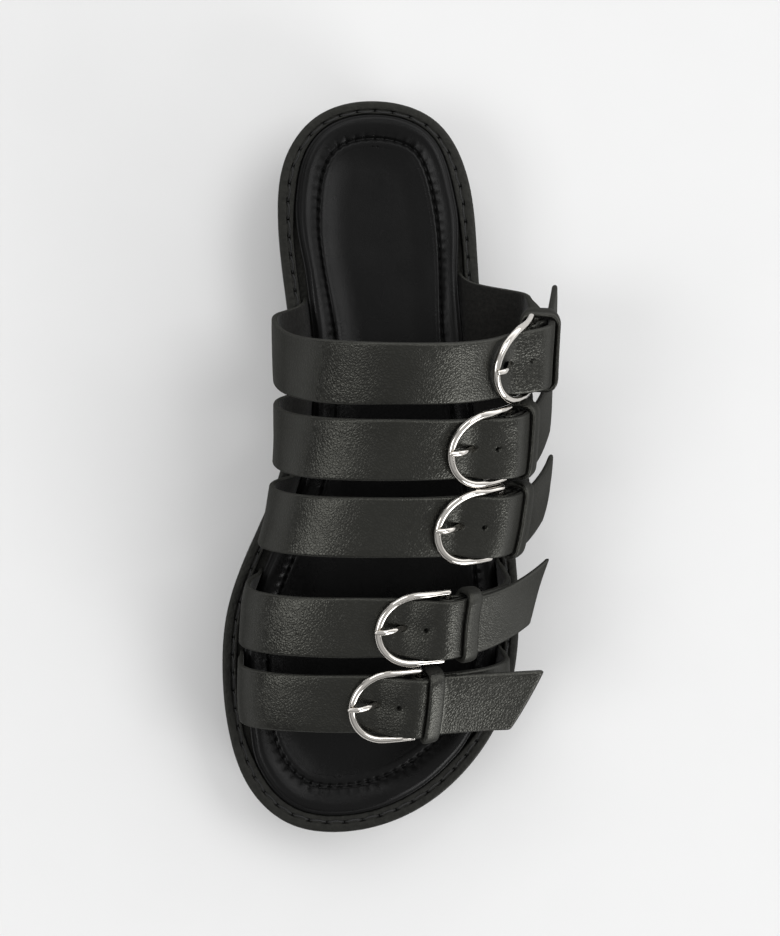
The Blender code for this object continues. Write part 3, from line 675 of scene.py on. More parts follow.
lower = stacked((LOWER_LOOPS, 0.0, tread_z), (WELT_LOOPS, 0.0, rim_z))
channel = stacked((CHANNEL_LOOPS, 0.0, rim_z))
channel[..., 2] -= PIT_DEPTH * pits(inset(STITCH_LINE), STITCH_PITCH)
upper = stacked((FLAT_RIM_LOOPS, 0.0, rim_z), (RECESS_LOOPS, RIM_WIDTH, rim_z))
wall = np.vstack([lower, channel, upper])
print("sole wall:", wall.shape[0], "rings of", wall.shape[1], "points")

# %% [markdown]
# ## Tread
# The tread fills the lowest ring from side to side. Two groups of grooves cross it, under the heel
# and under the ball. They end short of the edge, so the side of the sole stays whole.

# %% Tread
GROOVE_STATIONS = (-196, -184, -172, -160, -148, -136, -124, -112, -30, -18, -6, 6, 18)
GROOVE_WIDTH = 3.0
GROOVE_DEPTH = 2.0
GROOVE_END_MARGIN = 10.0
GROOVE_SLOPES = (0.3, 0.4)
TREAD_COLUMNS = 44


def filling(ring, columns, dip=None):
    """Rows from each ring point to the one facing it, closed to a line at both ends of the ring."""
    half = RING // 2
    one = ring[:half + 1]
    other = np.vstack([ring[:1], ring[:half - 1:-1]])
    share = np.linspace(0.0, 1.0, columns + 1)[None, :, None]
    grid = (1 - share) * one[:, None] + share * other[:, None]
    if dip is not None:
        grid[..., 2] += dip(grid)
    return grid


def tread_dip(grid):
    """Cross grooves: GROOVE_DEPTH where y is near a groove's station and x is clear of the edge."""
    x, y = grid[..., 0], grid[..., 1]
    near = np.min(np.abs(y[..., None] - np.array(GROOVE_STATIONS)), axis=-1)
    inside = np.minimum(x - side_x(y, -1, GROOVE_END_MARGIN), side_x(y, 1, GROOVE_END_MARGIN) - x)
    side, end = GROOVE_SLOPES
    cut = 1 - ease(GROOVE_WIDTH / 2 - side, GROOVE_WIDTH / 2 + side, near)
    return GROOVE_DEPTH * cut * ease(-end, end, inside)


tread = filling(wall[0], TREAD_COLUMNS, tread_dip)
print("tread:", len(GROOVE_STATIONS), "grooves")

# %% [markdown]
# ## One closed skin
# The wall is a tube of rings, and the tread and the recess's floor are laid between its two halves.
# All three share their edge points, so they are merged into one closed skin.


# %% Outsole as one closed skin
# points nearer than this many millimetres are one point
SAME_POINT = 0.002


def closed_skin(name, rings, materials, below, above):
    """Tube of rings with a filled floor and top, whose shared points are merged."""
    body = patch(rings, caps=False)
    floor = patch(below, around_columns=False, caps=False)
    roof = patch(above[:, ::-1], around_columns=False, caps=False)
    first = len(body["points"])
    second = first + len(floor["points"])
    floor["quads"] = floor["quads"][:, ::-1] + first
    roof["quads"] = roof["quads"][:, ::-1] + second
    for part in (floor, roof):
        part["uv"] = part["uv"].reshape(-1, 4, 2)[:, ::-1].reshape(-1, 2)
    skin = {"fans": np.zeros((0, 3), int)}
    for key in ("points", "quads", "uv", "finish"):
        skin[key] = np.concatenate([body[key], floor[key], roof[key]])
    made = add_piece(name, [skin], materials)
    shape = bmesh.new()
    shape.from_mesh(made.data)
    bmesh.ops.remove_doubles(shape, verts=shape.verts, dist=SAME_POINT * MM)
    bmesh.ops.dissolve_degenerate(shape, edges=shape.edges, dist=SAME_POINT * MM)
    bmesh.ops.recalc_face_normals(shape, faces=shape.faces)
    loose = sum(1 for edge in shape.edges if len(edge.link_faces) != 2)
    shape.to_mesh(made.data)
    shape.free()
    made.data.shade_smooth()
    made.data.set_sharp_from_angle(angle=SHARP_ANGLE)
    print(name, "open edges:", loose)
    return made


closed_skin("rubber_outsole", wall, [RUBBER], tread, filling(wall[-1], 4))

# %% [markdown]
# ## Sole stitches
# A lockstitch runs round the rim in its channel. Between two holes the thread lies on the surface
# and bows a little towards the insole. One stitch is a short tube, bent down into its holes at both
# ends, and it is repeated round the rim.

# %% Sole stitches
THREAD_RADIUS = 0.4
THREAD_SIDES = 6


def ring_place(ring, run):
    """Point and inward direction on a closed ring at a distance along it, and the ring's length."""
    closed = np.vstack([ring, ring[:1]])
    total = lengths(closed)
    run = np.mod(run, total[-1])
    place = np.stack([np.interp(run, total, closed[:, k]) for k in range(2)], axis=-1)
    beyond = np.mod(run + 0.5, total[-1])
    ahead = np.stack([np.interp(beyond, total, closed[:, k]) for k in range(2)], axis=-1) - place
    ahead /= np.linalg.norm(ahead, axis=-1)[..., None]
    return place, np.stack([-ahead[..., 1], ahead[..., 0]], axis=-1), total[-1]


def tube(path, radius, sides):
    """Round section carried along paths: rings square to each path, kept level with the z axis."""
    along = np.gradient(path, axis=-2)
    along /= np.linalg.norm(along, axis=-1)[..., None]
    side = np.cross(along, (0.0, 0.0, 1.0))
    side /= np.linalg.norm(side, axis=-1)[..., None]
    up = np.cross(side, along)
    turn = np.linspace(0.0, 2 * math.pi, sides, endpoint=False)
    ring = np.cos(turn)[:, None] * side[..., None, :] + np.sin(turn)[:, None] * up[..., None, :]
    return path[..., None, :] + radius * ring


def stitches(line, pitch, length, bow, height, radius, steps=9, sink=0.8):
    """Tubes along a line: stitch k is centred at (k + 1/2) * pitch. From one end, t = 0, to the other,
    t = 1, it bows by sin(pi t) and lies lower by 1 - sqrt(sin(pi t))."""
    total = ring_place(line, 0.0)[2]
    count = int(round(total / pitch))
    t = np.linspace(0.0, 1.0, steps)
    run = total / count * (np.arange(count)[:, None] + 0.5 + (t - 0.5) * length / pitch)
    place, inward, _ = ring_place(line, run)
    place = place + inward * (bow * np.sin(math.pi * t))[None, :, None]
    up = height(place[..., 1]) - sink * (1 - np.sin(math.pi * t) ** 0.5)
    path = np.concatenate([place, up[..., None]], axis=-1)
    return [patch(rings) for rings in tube(path, radius, THREAD_SIDES)]


add_piece("sole_thread", stitches(inset(STITCH_LINE), STITCH_PITCH, length=5.7, bow=0.6,
                                  height=lambda y: rim_z(y) - 0.15, radius=THREAD_RADIUS), [THREAD])

# %% [markdown]
# ## Padded insole
# The insole is foam on a board, covered with leather. The cover is pulled round a rolled border and
# stitched down inside it, so the roll puckers between the holes. Cloth simulation would remove that
# fine seam, because it needs an even remesh. So the shape is worked out directly: the height over
# the rim is a profile of the distance from the edge, minus a pull that repeats with every stitch and
# fades out up the roll.

# %% Insole profile
INSOLE_EDGE = 0.5
INSOLE_DRAWN_IN = 2.4
DRAWN_IN_HEEL = (-27.0, 2.0)
DRAWN_IN_TOE = (-206.0, -187.0)
SEAM = 10.3
SEAM_PITCH = 3.5
PULL_DEPTH = 0.26
HOLE_DEPTH = 0.5
HOLE_WIDTH = 0.6
# station y, distance of the seam from the rim's inner edge
SEAM_ROWS = ((-227.0, 10.8), (-214.0, 10.2), (-204.0, 9.7), (-187.0, 10.6), (-60.0, 10.5),
             (-20.0, 8.9), (8.0, 8.1), (26.0, 8.5), (38.0, 9.1))
# distance inside the insole's edge, height over the rim
BOARD_LOOPS = ((0.3, -2.7), (0.0, -2.2), (-0.1, -1.0), (-0.3, -0.1), (-0.32, 0.25), (-0.1, 0.5),
               (0.25, 0.55), (0.4, 0.8))
ROLL_ROWS = ((0.45, 1.15), (0.55, 1.9), (0.95, 2.95), (1.7, 3.65), (2.8, 4.1), (4.0, 4.2), (5.6, 3.95),
             (7.2, 3.5), (8.6, 3.0), (9.5, 2.6), (SEAM, 1.85), (10.9, 2.1), (11.6, 2.4),
             (12.4, 2.45), (14.0, 2.1))


def insole_edge(y):
    """Rim width plus a small gap, drawn in beside the roots of the straps."""
    window = (1 - ease(*DRAWN_IN_HEEL, y)) * ease(*DRAWN_IN_TOE, y)
    return read(RIM_ROWS, 1, y) + INSOLE_EDGE + INSOLE_DRAWN_IN * window


def sway(run, total, waves, strength):
    """Slow unevenness round a closed line: a sum of whole waves with random phases."""
    value = np.zeros_like(run)
    for count in waves:
        value += np.sin(2 * math.pi * count * run / total + chance.uniform(0.0, 2 * math.pi))
    return strength * value / len(waves)


EDGE = insole_edge(RIM[:, 1])
SQUEEZE = (read(SEAM_ROWS, 1, RIM[:, 1]) + RIM_WIDTH - EDGE) / SEAM
seam_line = inset(EDGE + SEAM * SQUEEZE)
seam_run = lengths(np.vstack([seam_line, seam_line[:1]]))
seam_total = seam_run[-1]
seam_run = seam_run[:-1]
seam_count = int(round(seam_total / SEAM_PITCH))
phase = 2 * math.pi * seam_count * seam_run / seam_total
pull = (0.5 + 0.5 * np.cos(phase)) ** 2
uneven = 1 + sway(seam_run, seam_total, (23, 31, 47), 0.35)
lumps = sway(seam_run, seam_total, (9, 14, 22, 29), 0.28)


def roll_height(distance):
    """Profile at this distance, plus lumps, minus the pull of each stitch near the seam."""
    height = read(ROLL_ROWS, 1, distance)
    on_roll = ease(0.6, 3.0, distance) * (1 - ease(7.5, SEAM, distance))
    near = ease(6.2, SEAM - 0.4, distance) * (1 - ease(SEAM + 0.3, SEAM + 2.0, distance))
    hole = math.exp(-((distance - SEAM) / HOLE_WIDTH) ** 2)
    height = height + lumps * on_roll - PULL_DEPTH * pull * uneven * near
    return height - HOLE_DEPTH * np.maximum(np.cos(phase), 0.0) ** 5 * hole


print("insole seam:", seam_count, "stitches over", round(seam_total), "mm")

# %% [markdown]
# ## From edge to panel
# The cover starts under the board's edge, climbs the roll and goes down to the seam, ring by ring.
# Inside the last ring lies the panel, a shallow bowl that a foot stands in.

# %% Insole
BOWL_DEPTH = 1.2
BOWL_WIDTH = 8.5
roll_steps = np.concatenate([np.linspace(0.45, 8.0, 20), np.linspace(8.35, 12.4, 15), [13.2, 14.0]])
board = stacked((BOARD_LOOPS, EDGE, rim_z))
roll = []
for distance in roll_steps:
    flat = inset(EDGE + distance * SQUEEZE)
    roll.append(np.column_stack([flat, rim_z(flat[:, 1]) + roll_height(distance)]))
pad_rings = np.vstack([board, np.array(roll)])


def panel_dip(grid):
    """Shallow bowl: it falls by depth * (1 - (1 - d / width) ** 2), d being the distance from the
    panel's border, and is flat further in."""
    border = np.vstack([grid[::2, 0, :2], grid[::2, -1, :2]])
    apart = np.linalg.norm(grid[:, :, None, :2] - border[None, None], axis=-1).min(axis=-1)
    return -BOWL_DEPTH * (1 - (1 - np.clip(apart / BOWL_WIDTH, 0.0, 1.0)) ** 2)


insole = closed_skin("padded_insole", pad_rings, [CALF], filling(pad_rings[0], 4),
                     filling(pad_rings[-1], 40, panel_dip))
add_piece("seam_thread", stitches(seam_line, SEAM_PITCH, length=2.5, bow=0.0,
                                  height=lambda y: rim_z(y) + 1.3, radius=0.22, steps=7, sink=0.5),
          [THREAD])

# %% [markdown]
# ## Straps
# A strap is two skins of leather, folded over at both edges and pressed, so its section is a flat
# bar with round edges. The section is carried along the ruler. Inside the buckle the strap climbs
# over the bar. Its end in the sole is skived, pared thin.

# %% Section and heights of a strap
STRAP_WIDTH = 20.8
STRAP_THICKNESS = 2.3
EDGE_RADIUS = 0.95
END_ROUND = 1.4
IN_BUCKLE = (-19.0, -3.0)
# distance from a root, thickness there
SKIVE = ((0.0, 1.6), (4.0, 1.6), (9.5, STRAP_THICKNESS))
# distance past the bar, height of the strap's underside
STRAP_LIFT = ((-200.0, 0.0), (-14.5, 0.1), (-11.6, 1.3), (-6.0, 4.2), (-2.5, 5.45), (0.0, 5.75),
              (4.0, 4.75), (8.0, 3.6), (14.0, 2.65), (60.0, 2.65))


def strap_stations(strip):
    """Even steps, closer together in the buckle and at the rounded end."""
    enters, passed = IN_BUCKLE
    lasted = np.arange(strip.low, enters, 0.8)
    buckle = np.arange(enters, passed, 0.3)
    tip = strip.tail - END_ROUND * (1 - np.sin(np.linspace(0.0, math.pi / 2, 7)))
    free = np.arange(passed, tip[0] - 0.4, 0.7)
    return np.concatenate([lasted, buckle, free, tip])


def strap_section():
    """Flat bar with round edges and finer steps along its middle line."""
    section = rounded_bar(STRAP_WIDTH, STRAP_THICKNESS, EDGE_RADIUS, flat_steps=34)
    flat = STRAP_WIDTH / 2 - EDGE_RADIUS
    spread = np.clip(np.abs(section[:, 0]) / flat, 0.0, 1.0)
    finer = np.sign(section[:, 0]) * flat * spread ** 1.35
    section[:, 0] = np.where(np.abs(section[:, 0]) < flat, finer, section[:, 0])
    return section


def strap_lift(strip, u):
    """Height of the underside: the table averaged over 4 mm, plus a bulge up to the bar."""
    base = np.mean([read(STRAP_LIFT, 1, u + step) for step in (-2.0, -1.0, 0.0, 1.0, 2.0)], axis=0)
    return base + strip.bulge * ease(-12.0, 0.0, u)


def lined(section, rows):
    """Finish of each column: 1, the lining, on the underside, and 0, leather, elsewhere."""
    low = section[:, 1] < 0.12 * STRAP_THICKNESS
    return np.broadcast_to((low & np.roll(low, -1)).astype(int), (rows, len(section)))


print("strap section:", len(strap_section()), "points")

# %% [markdown]
# ## Hand-made unevenness and the tail
# The top of a strap is never quite flat. Slow waves, the line of the folded edge and the holes for
# the pin are taken from its height. Beyond its keeper the stiff tail leaves the last in a nearly
# straight line and ends in a slanting cut.

# %% Straps
KEEPER_WIDTH = 5.4
FREE_AFTER_KEEPER = 1.0
TAIL_CUT = 11.0
SWING_POWER = 1.5
FOLD_LINE = 9.0
# place u and v, half length and half width, depth
HOLES = ((-6.8, 0.0, 0.8, 0.8, 2.0), (-14.6, 0.0, 2.3, 1.35, 1.9))


def strap_relief(u, v, phases):
    """Height of the top face over a flat one: waves, minus the fold's line and the pits of the holes."""
    relief = 0.09 * np.sin(u / 11.0 + v / 9.0 + phases[0]) + 0.05 * np.sin(u / 6.0 - v / 7.0 + phases[1])
    relief = relief - 0.14 - 0.07 * np.exp(-((np.abs(v) - FOLD_LINE) / 0.7) ** 2)
    for place_u, place_v, long, wide, deep in HOLES:
        far = np.sqrt(((u - place_u) / long) ** 2 + ((v - place_v) / wide) ** 2)
        dimple = 0.35 * np.exp(-((u - place_u) / 3.2) ** 2 - ((v - place_v) / 3.6) ** 2)
        relief = relief - deep * (1 - ease(0.55, 1.0, far)) - dimple
    return relief


def with_free_tail(strip, u, v, height):
    """Points on the last up to the keeper; past it, a straight line, cut slanting, swung and raised."""
    leaves = strip.keeper_start + KEEPER_WIDTH + FREE_AFTER_KEEPER
    free = np.clip((u - leaves) / (strip.tail - leaves), 0.0, 1.0)
    reach = u + TAIL_CUT * (v / STRAP_WIDTH) * free
    along, across, off = strip.axes(np.full_like(v, leaves), v)
    above = height - strap_lift(strip, u) + strap_lift(strip, leaves)
    start = strip.point(np.full_like(v, leaves), v, above)
    bend = (reach - leaves) / (strip.tail - leaves)
    loose = start + along * (reach - leaves)[..., None]
    loose = loose + across * (strip.swing * free ** SWING_POWER)[..., None]
    loose = loose + off * (strip.rise * bend * bend)[..., None]
    return np.where((u > leaves)[..., None], loose, strip.point(u, v, height))


def strap_grid(strip):
    """Section carried along the ruler, with wavy edges and a rounded end."""
    u = strap_stations(strip)[:, None]
    section = strap_section()[None]
    past = np.clip((u - (strip.tail - END_ROUND)) / END_ROUND, 0.0, 1.0)
    closing = np.sqrt(np.maximum(1 - past ** 2, 0.0))
    v = section[..., 0]
    v = np.sign(v) * (np.abs(v) - (1 - closing) * (np.abs(v) > 2.0))
    share = 0.5 + (section[..., 1] / STRAP_THICKNESS - 0.5) * np.maximum(closing, 0.02)
    phases = chance.uniform(0.0, 2 * math.pi, 6)
    edge = 0.12 * np.sin(u / 13.0 + phases[0]) + 0.06 * np.sin(u / 5.7 + phases[1])
    v = v + edge * np.sign(v) * ease(4.0, STRAP_WIDTH / 2, np.abs(v))
    height = strap_lift(strip, u) + read(SKIVE, 1, u - strip.low) * share
    height = height + ease(0.5, 0.95, share) * strap_relief(u, v, phases[2:])
    return with_free_tail(strip, u, v, height)


for strip in STRIPS:
    grid = strap_grid(strip)
    finish = lined(strap_section(), len(grid) - 1)
    add_piece("nappa_strap_" + strip.name, [patch(grid, finish=finish)], [NAPPA, LINING])

# %% [markdown]
# ## Tabs
# The short strap comes up from the lateral root, is thinned, wraps round the buckle's bar and is
# glued back on itself. A slot in the fold leaves room for the prong, so the fold is two lobes. Its
# middle line is a path in the plane of u and h, and the section's thickness varies along it.

# %% Tabs
WIRE = 2.6
BAR_LIFT = 2.65
TAB_WIDTH = STRAP_WIDTH - 0.4
PRONG_SLOT = 1.8
TAB_BULGE = 0.9
TAB_BULGE_FADE = (14.0, 24.0)
# the band is pared between these distances from the bar
TAB_PARED = (6.0, 14.0)
FOLD_RADIUS = WIRE / 2 + 1.4 * GAP + 0.45
FOLD_THICKNESS = 0.9
# steps along a lobe: up to the fold, round it and back as the lap
LOBE_STEPS = (10, 22, 16)
# distance past the bar, height of the lap's middle
LAP_ROWS = ((0.9, 4.72), (2.0, 3.95), (5.0, 3.1), (9.0, 2.4), (13.5, 2.1))


def band(strip, path, thickness, left, right, flat_steps=20, radius_share=0.42):
    """Flat bar between two edges, carried along a path of (u, h), square to that path."""
    slope = np.gradient(path, axis=0)
    slope /= np.linalg.norm(slope, axis=1)[:, None]
    square = np.stack([-slope[:, 1], slope[:, 0]], axis=1)
    rows = []
    for middle, out, thick in zip(path, square, thickness):
        section = rounded_bar(right - left, thick, thick * radius_share, flat_steps)
        place = middle + out * (section[:, 1:] - thick / 2)
        rows.append(np.column_stack([place[:, 0], section[:, 0] + (left + right) / 2, place[:, 1]]))
    grid = np.array(rows)
    return strip.point(grid[..., 0], grid[..., 1], grid[..., 2])


def tab_swell(strip, u):
    """Thickness added below the bulge of the strap, fading out down the side."""
    return TAB_BULGE * strip.bulge * ease(LAP_ROWS[0][0], 4.0, u) * (1 - ease(*TAB_BULGE_FADE, u))


def tab_root(strip):
    """Middle line and thickness of the band that comes up from the lateral root to the fold."""
    u = np.arange(strip.high, TAB_PARED[0], -0.9)
    pared = np.interp(u, TAB_PARED, (1.8, STRAP_THICKNESS))
    thick = np.minimum(pared, read(SKIVE, 1, strip.high - u)) + tab_swell(strip, u)
    return np.stack([u, thick / 2 + 0.05 * (1 - ease(*TAB_PARED, u))], axis=1), thick


def tab_lobe(strip):
    """Middle line and thickness of a lobe: up to the bar, round it, and back as a lap."""
    rising, turning, lapping = LOBE_STEPS
    start, end = LAP_ROWS[0][0], LAP_ROWS[-1][0]
    lead = np.stack([np.linspace(8.0, start, rising),
                     np.linspace(0.95, BAR_LIFT - FOLD_RADIUS + 0.02, rising)], axis=1)
    angle = np.radians(np.linspace(-95.0, -265.0, turning))
    fold = np.stack([FOLD_RADIUS * np.cos(angle), BAR_LIFT + FOLD_RADIUS * np.sin(angle)], axis=1)
    u = np.linspace(start, end, lapping)
    plump = tab_swell(strip, u) * (1 - ease(7.0, 12.0, u))
    height = np.interp(u, *zip(*LAP_ROWS)) + tab_swell(strip, u) + 0.18 * plump
    thick = np.concatenate([np.linspace(1.7, FOLD_THICKNESS, rising), np.full(turning, FOLD_THICKNESS),
                            np.linspace(FOLD_THICKNESS, 0.5, lapping) + 0.38 * plump])
    return np.vstack([lead, fold, np.stack([u, height], axis=1)]), thick


def tab_patches(strip):
    """The band, lined towards the foot, and the two lobes beside the prong's slot."""
    half = TAB_WIDTH / 2
    section = rounded_bar(TAB_WIDTH, STRAP_THICKNESS, EDGE_RADIUS, 20)
    grid = band(strip, *tab_root(strip), -half, half)
    inner = lined(section * (1, -1) + (0, STRAP_THICKNESS), len(grid) - 1)
    made = [patch(grid, finish=inner)]
    for left, right in ((-half, -PRONG_SLOT), (PRONG_SLOT, half)):
        made.append(patch(band(strip, *tab_lobe(strip), left, right, flat_steps=10)))
    return made


for strip in STRIPS:
    add_piece("nappa_tab_" + strip.name, tab_patches(strip), [NAPPA, LINING])

# %% [markdown]
# ## Keepers
# A keeper is a narrow loop of the same leather, closed under the tab. It holds the tail down next
# to the buckle. Its path is a rounded rectangle round both layers, and its own section is a small
# flat bar with round edges and a slightly domed outer face.

# %% Keepers
KEEPER_WALL = 1.6
KEEPER_EDGE = 0.72
KEEPER_DOME = 0.3
KEEPER_CORNER = 2.3
ROOM_BESIDE = 0.8
ROOM_ABOVE = 0.15


def keeper_grid(strip):
    """Rounded rectangle in v and h, carried as a flat bar whose width lies along u."""
    width, out = rounded_bar(KEEPER_WIDTH, KEEPER_WALL, KEEPER_EDGE, flat_steps=10).T
    dome = KEEPER_DOME * (1 - (2 * width / KEEPER_WIDTH) ** 2) * (out > KEEPER_WALL / 2)
    reach = KEEPER_CORNER + out + dome
    u = strip.keeper_start + KEEPER_WIDTH / 2 + width
    side = STRAP_WIDTH / 2 + ROOM_BESIDE - KEEPER_CORNER
    top = strap_lift(strip, u) + STRAP_THICKNESS + ROOM_ABOVE - KEEPER_CORNER
    low = np.full_like(u, KEEPER_CORNER - GAP)
    rows = []
    for quarter, (right, middle) in enumerate(((1, top), (-1, top), (-1, low), (1, low))):
        for angle in np.linspace(0.0, math.pi / 2, 7) + quarter * math.pi / 2:
            rows.append(np.column_stack([u, right * side + reach * math.cos(angle),
                                         middle + reach * math.sin(angle)]))
        if quarter % 2 == 0:  # a long side follows
            across = 2 * right * side * np.linspace(0.0, 1.0, 14)[1:-1]
            rows += [rows[-1] - (0.0, step, 0.0) for step in across]
    grid = np.array(rows)
    return strip.point(grid[..., 0], grid[..., 1], grid[..., 2])


for strip in STRIPS:
    add_piece("nappa_keeper_" + strip.name, [patch(keeper_grid(strip), around_rows=True)], [NAPPA])

# %% [markdown]
# ## Buckles
# The buckle is a horseshoe of round wire, slightly curved with the foot, and a straight bar across
# its open side. Both are round sections carried along a path, and the horseshoe's blunt ends stand
# a little past the bar.

# %% Buckles
BUCKLE_WIDTH = 26.6
BUCKLE_REACH = 22.2
ARM_PAST_BAR = 0.7
WIRE_SQUASH = 0.92
BAR_RADIUS = 0.42 * WIRE
BLUNT_END = 0.6
# distance past the bar, height of the wire's middle
WIRE_LIFT = ((-22.2, 4.3), (-11.0, 3.95), (0.0, 2.65), (2.0, 2.35))


def carried(path, off, radius, sides, height=1.0, blunt=0.0):
    """Oval section carried along a path, level with its off directions; both ends may be rounded."""
    along = np.gradient(path, axis=0)
    along /= np.linalg.norm(along, axis=1)[:, None]
    side = np.cross(along, off)
    side /= np.linalg.norm(side, axis=1)[:, None]
    up = np.cross(side, along)
    run = lengths(path)
    left = np.minimum(run, run[-1] - run)
    scale = np.sqrt(1 - (1 - np.clip(left / blunt, 0.03, 1.0)) ** 2) if blunt else np.ones(len(path))
    turn = np.linspace(0.0, 2 * math.pi, sides, endpoint=False)
    ring = np.cos(turn)[:, None] * side[:, None] + height * np.sin(turn)[:, None] * up[:, None]
    return path[:, None] + (np.broadcast_to(radius, len(path)) * scale)[:, None, None] * ring


def on_strip(strip, flat, lift_rows):
    """Path of (u, v) laid over the last at the heights of a table, and its off directions."""
    place = strip.point(flat[:, 0], flat[:, 1], read(lift_rows, 1, flat[:, 0]))
    return place, strip.axes(flat[:, 0], flat[:, 1])[2]


def end_steps(length, count, blunt):
    """Steps along a rod: dense over the rounded ends, even between them."""
    tip = blunt * (1 - np.cos(np.linspace(0.0, math.pi / 2, 6)))
    between = np.linspace(blunt, length - blunt, count)[1:-1]
    return np.concatenate([tip, between, (length - tip)[::-1]])


def buckle_patches(strip):
    """Horseshoe: two arms along u and a half circle between them; the bar: a rod along v."""
    half = (BUCKLE_WIDTH - WIRE) / 2
    bend = BUCKLE_REACH - half
    arm = bend + ARM_PAST_BAR
    total = 2 * arm + math.pi * half
    run = end_steps(total, 110, BLUNT_END)
    angle = np.clip((run - arm) / half, 0.0, math.pi)
    u = np.where(run < arm, ARM_PAST_BAR - run,
                 np.where(run > total - arm, ARM_PAST_BAR - (total - run), -bend - half * np.sin(angle)))
    v = half * np.cos(angle)
    path, off = on_strip(strip, np.stack([u, v], axis=1), WIRE_LIFT)
    horseshoe = patch(carried(path, off, WIRE / 2, 20, WIRE_SQUASH, blunt=BLUNT_END))
    v = np.linspace(-half, half, 24)
    path, off = on_strip(strip, np.stack([np.zeros(24), v], axis=1), WIRE_LIFT)
    return [horseshoe, patch(carried(path, off, BAR_RADIUS, 16))]


for strip in STRIPS:
    add_piece("nickel_buckle_" + strip.name, buckle_patches(strip), [NICKEL])

# %% [markdown]
# ## Prongs
# The prong is curled round the bar, dips under the strap, comes up through its punched hole and
# rests on the bend of the horseshoe. Its oval section narrows to a blunt round tip.

# %% Prongs
# half width at the bar and at the tip, thickness as a share of the width
PRONG_HALF_WIDTH = (1.1, 0.8)
PRONG_SQUASH = 0.62
PRONG_BLUNT = 0.7
# distance past the bar, height of the prong's middle
PRONG_ROUTE = ((-4.5, 0.35), (-8.0, 0.25), (-11.6, 0.3), (-14.2, 2.0), (-17.2, 4.6), (-20.2, 6.3),
               (-23.6, 6.3))


def prong_path():
    """A curl round the bar, then the route, resampled evenly and rounded by averaging neighbours."""
    curl = WIRE / 2 + GAP + 0.6
    angle = np.radians(np.linspace(100.0, -90.0, 14))
    turn = np.stack([curl * np.cos(angle), BAR_LIFT + curl * np.sin(angle)], axis=1)
    path = spread_evenly(np.vstack([turn, PRONG_ROUTE]), 70)
    for _ in range(6):
        path[1:-1] = 0.25 * path[:-2] + 0.5 * path[1:-1] + 0.25 * path[2:]
    return path


def prong_patch(strip):
    """Oval section along the path, even up to three quarters of it and narrowing to the tip."""
    path = prong_path()
    run = lengths(path)
    keep = end_steps(run[-1], 60, PRONG_BLUNT)
    path = np.stack([np.interp(keep, run, path[:, k]) for k in range(2)], axis=1)
    place = strip.point(path[:, 0], np.zeros(len(path)), path[:, 1])
    along = np.gradient(place, axis=0)
    across = strip.axes(path[:, 0], np.zeros(len(path)))[1]
    wide, narrow = PRONG_HALF_WIDTH
    radius = np.interp(keep, (0.0, 0.75 * run[-1], run[-1]), (wide, wide, narrow))
    return patch(carried(place, np.cross(along, across), radius, 14, PRONG_SQUASH, blunt=PRONG_BLUNT))


for strip in STRIPS:
    add_piece("nickel_prong_" + strip.name, [prong_patch(strip)], [NICKEL])

# %% [markdown]
# ## Which piece stands for which part
# Each new piece moves with the imported part's body and, where it has one, takes the place of its
# CAD node. The table also lists the finish of the record that it wears.

# %% Tie the pieces to the imported part
PER_STRAP = (("nappa_strap_", "strap_", "strap_leather"), ("nappa_tab_", "tab_", "strap_leather"),
             ("nappa_keeper_", "keeper_", "strap_leather"), ("nickel_buckle_", "buckle_", "nickel"),
             ("nickel_prong_", "prong_", "nickel"))
stands_for = {"rubber_outsole": ("outsole", "sole_rubber"), "sole_thread": (None, "strap_leather"),
              "padded_insole": ("insole", "footbed_leather"), "seam_thread": (None, "footbed_leather")}
for strip in STRIPS:
    for piece_kind, node_kind, slot in PER_STRAP:
        stands_for[piece_kind + strip.name] = (node_kind + strip.name, slot)
for name, (node, slot) in stands_for.items():
    piece = bpy.data.objects[name]
    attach(piece, "root")
    if node:
        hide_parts(node)
print("pieces:", len(stands_for))

# %% [markdown]
# ## Floor
# The shoe stands on a plain pale sheet of matt paper, which is far larger than the shoe.

# %% Floor
PAPER, tree, shader = new_finish("matt_studio_paper", Roughness=0.9)
place = add_node(tree, "TexCoord").outputs["Object"]
fibre = add_node(tree, "TexNoise", {"Vector": place, "Scale": per_mm(30.0), "Detail": 2.0})
tone = add_node(tree, "ValToRGB", {"Fac": fibre.outputs["Fac"]})
tone.color_ramp.elements[0].color = linear("#D6D6D6")
tone.color_ramp.elements[1].color = linear("#D8D8D8")
tree.links.new(tone.outputs["Color"], shader.inputs["Base Color"])
floor_mesh = bpy.data.meshes.new("studio_floor")
floor_mesh.from_pydata([(-4, -4, 0), (4, -4, 0), (4, 4, 0), (-4, 4, 0)], [], [(0, 1, 2, 3)])
floor_mesh.materials.append(PAPER)
floor = bpy.data.objects.new("studio_floor", floor_mesh)
bpy.context.scene.collection.objects.link(floor)
print("floor:", PAPER.name)

# %% [markdown]
# ## Lights
# The key light is low, on the side of the buckles and the toe, and throws a soft shadow towards the
# big-toe side. Two lights high over both sides of the foot give each strap its two bands of sheen,
# and one behind the heel draws the edges.

# %% Lights
SHOE_MIDDLE = Vector((0.0, -0.092, 0.03))
LIGHT_DISTANCE = 3.0
# name, direction from the shoe, width and depth in metres, watts
LIGHT_ROWS = (("key_light", (0.672, -0.672, 0.309), 1.4, 1.4, 46.0),
              ("right_strip", (0.50, 0.25, 0.77), 2.0, 1.2, 27.0),
              ("left_strip", (-0.85, -0.2, 0.85), 1.5, 1.2, 24.0),
              ("back_light", (-0.3, 0.6, 0.75), 1.6, 1.2, 16.0))


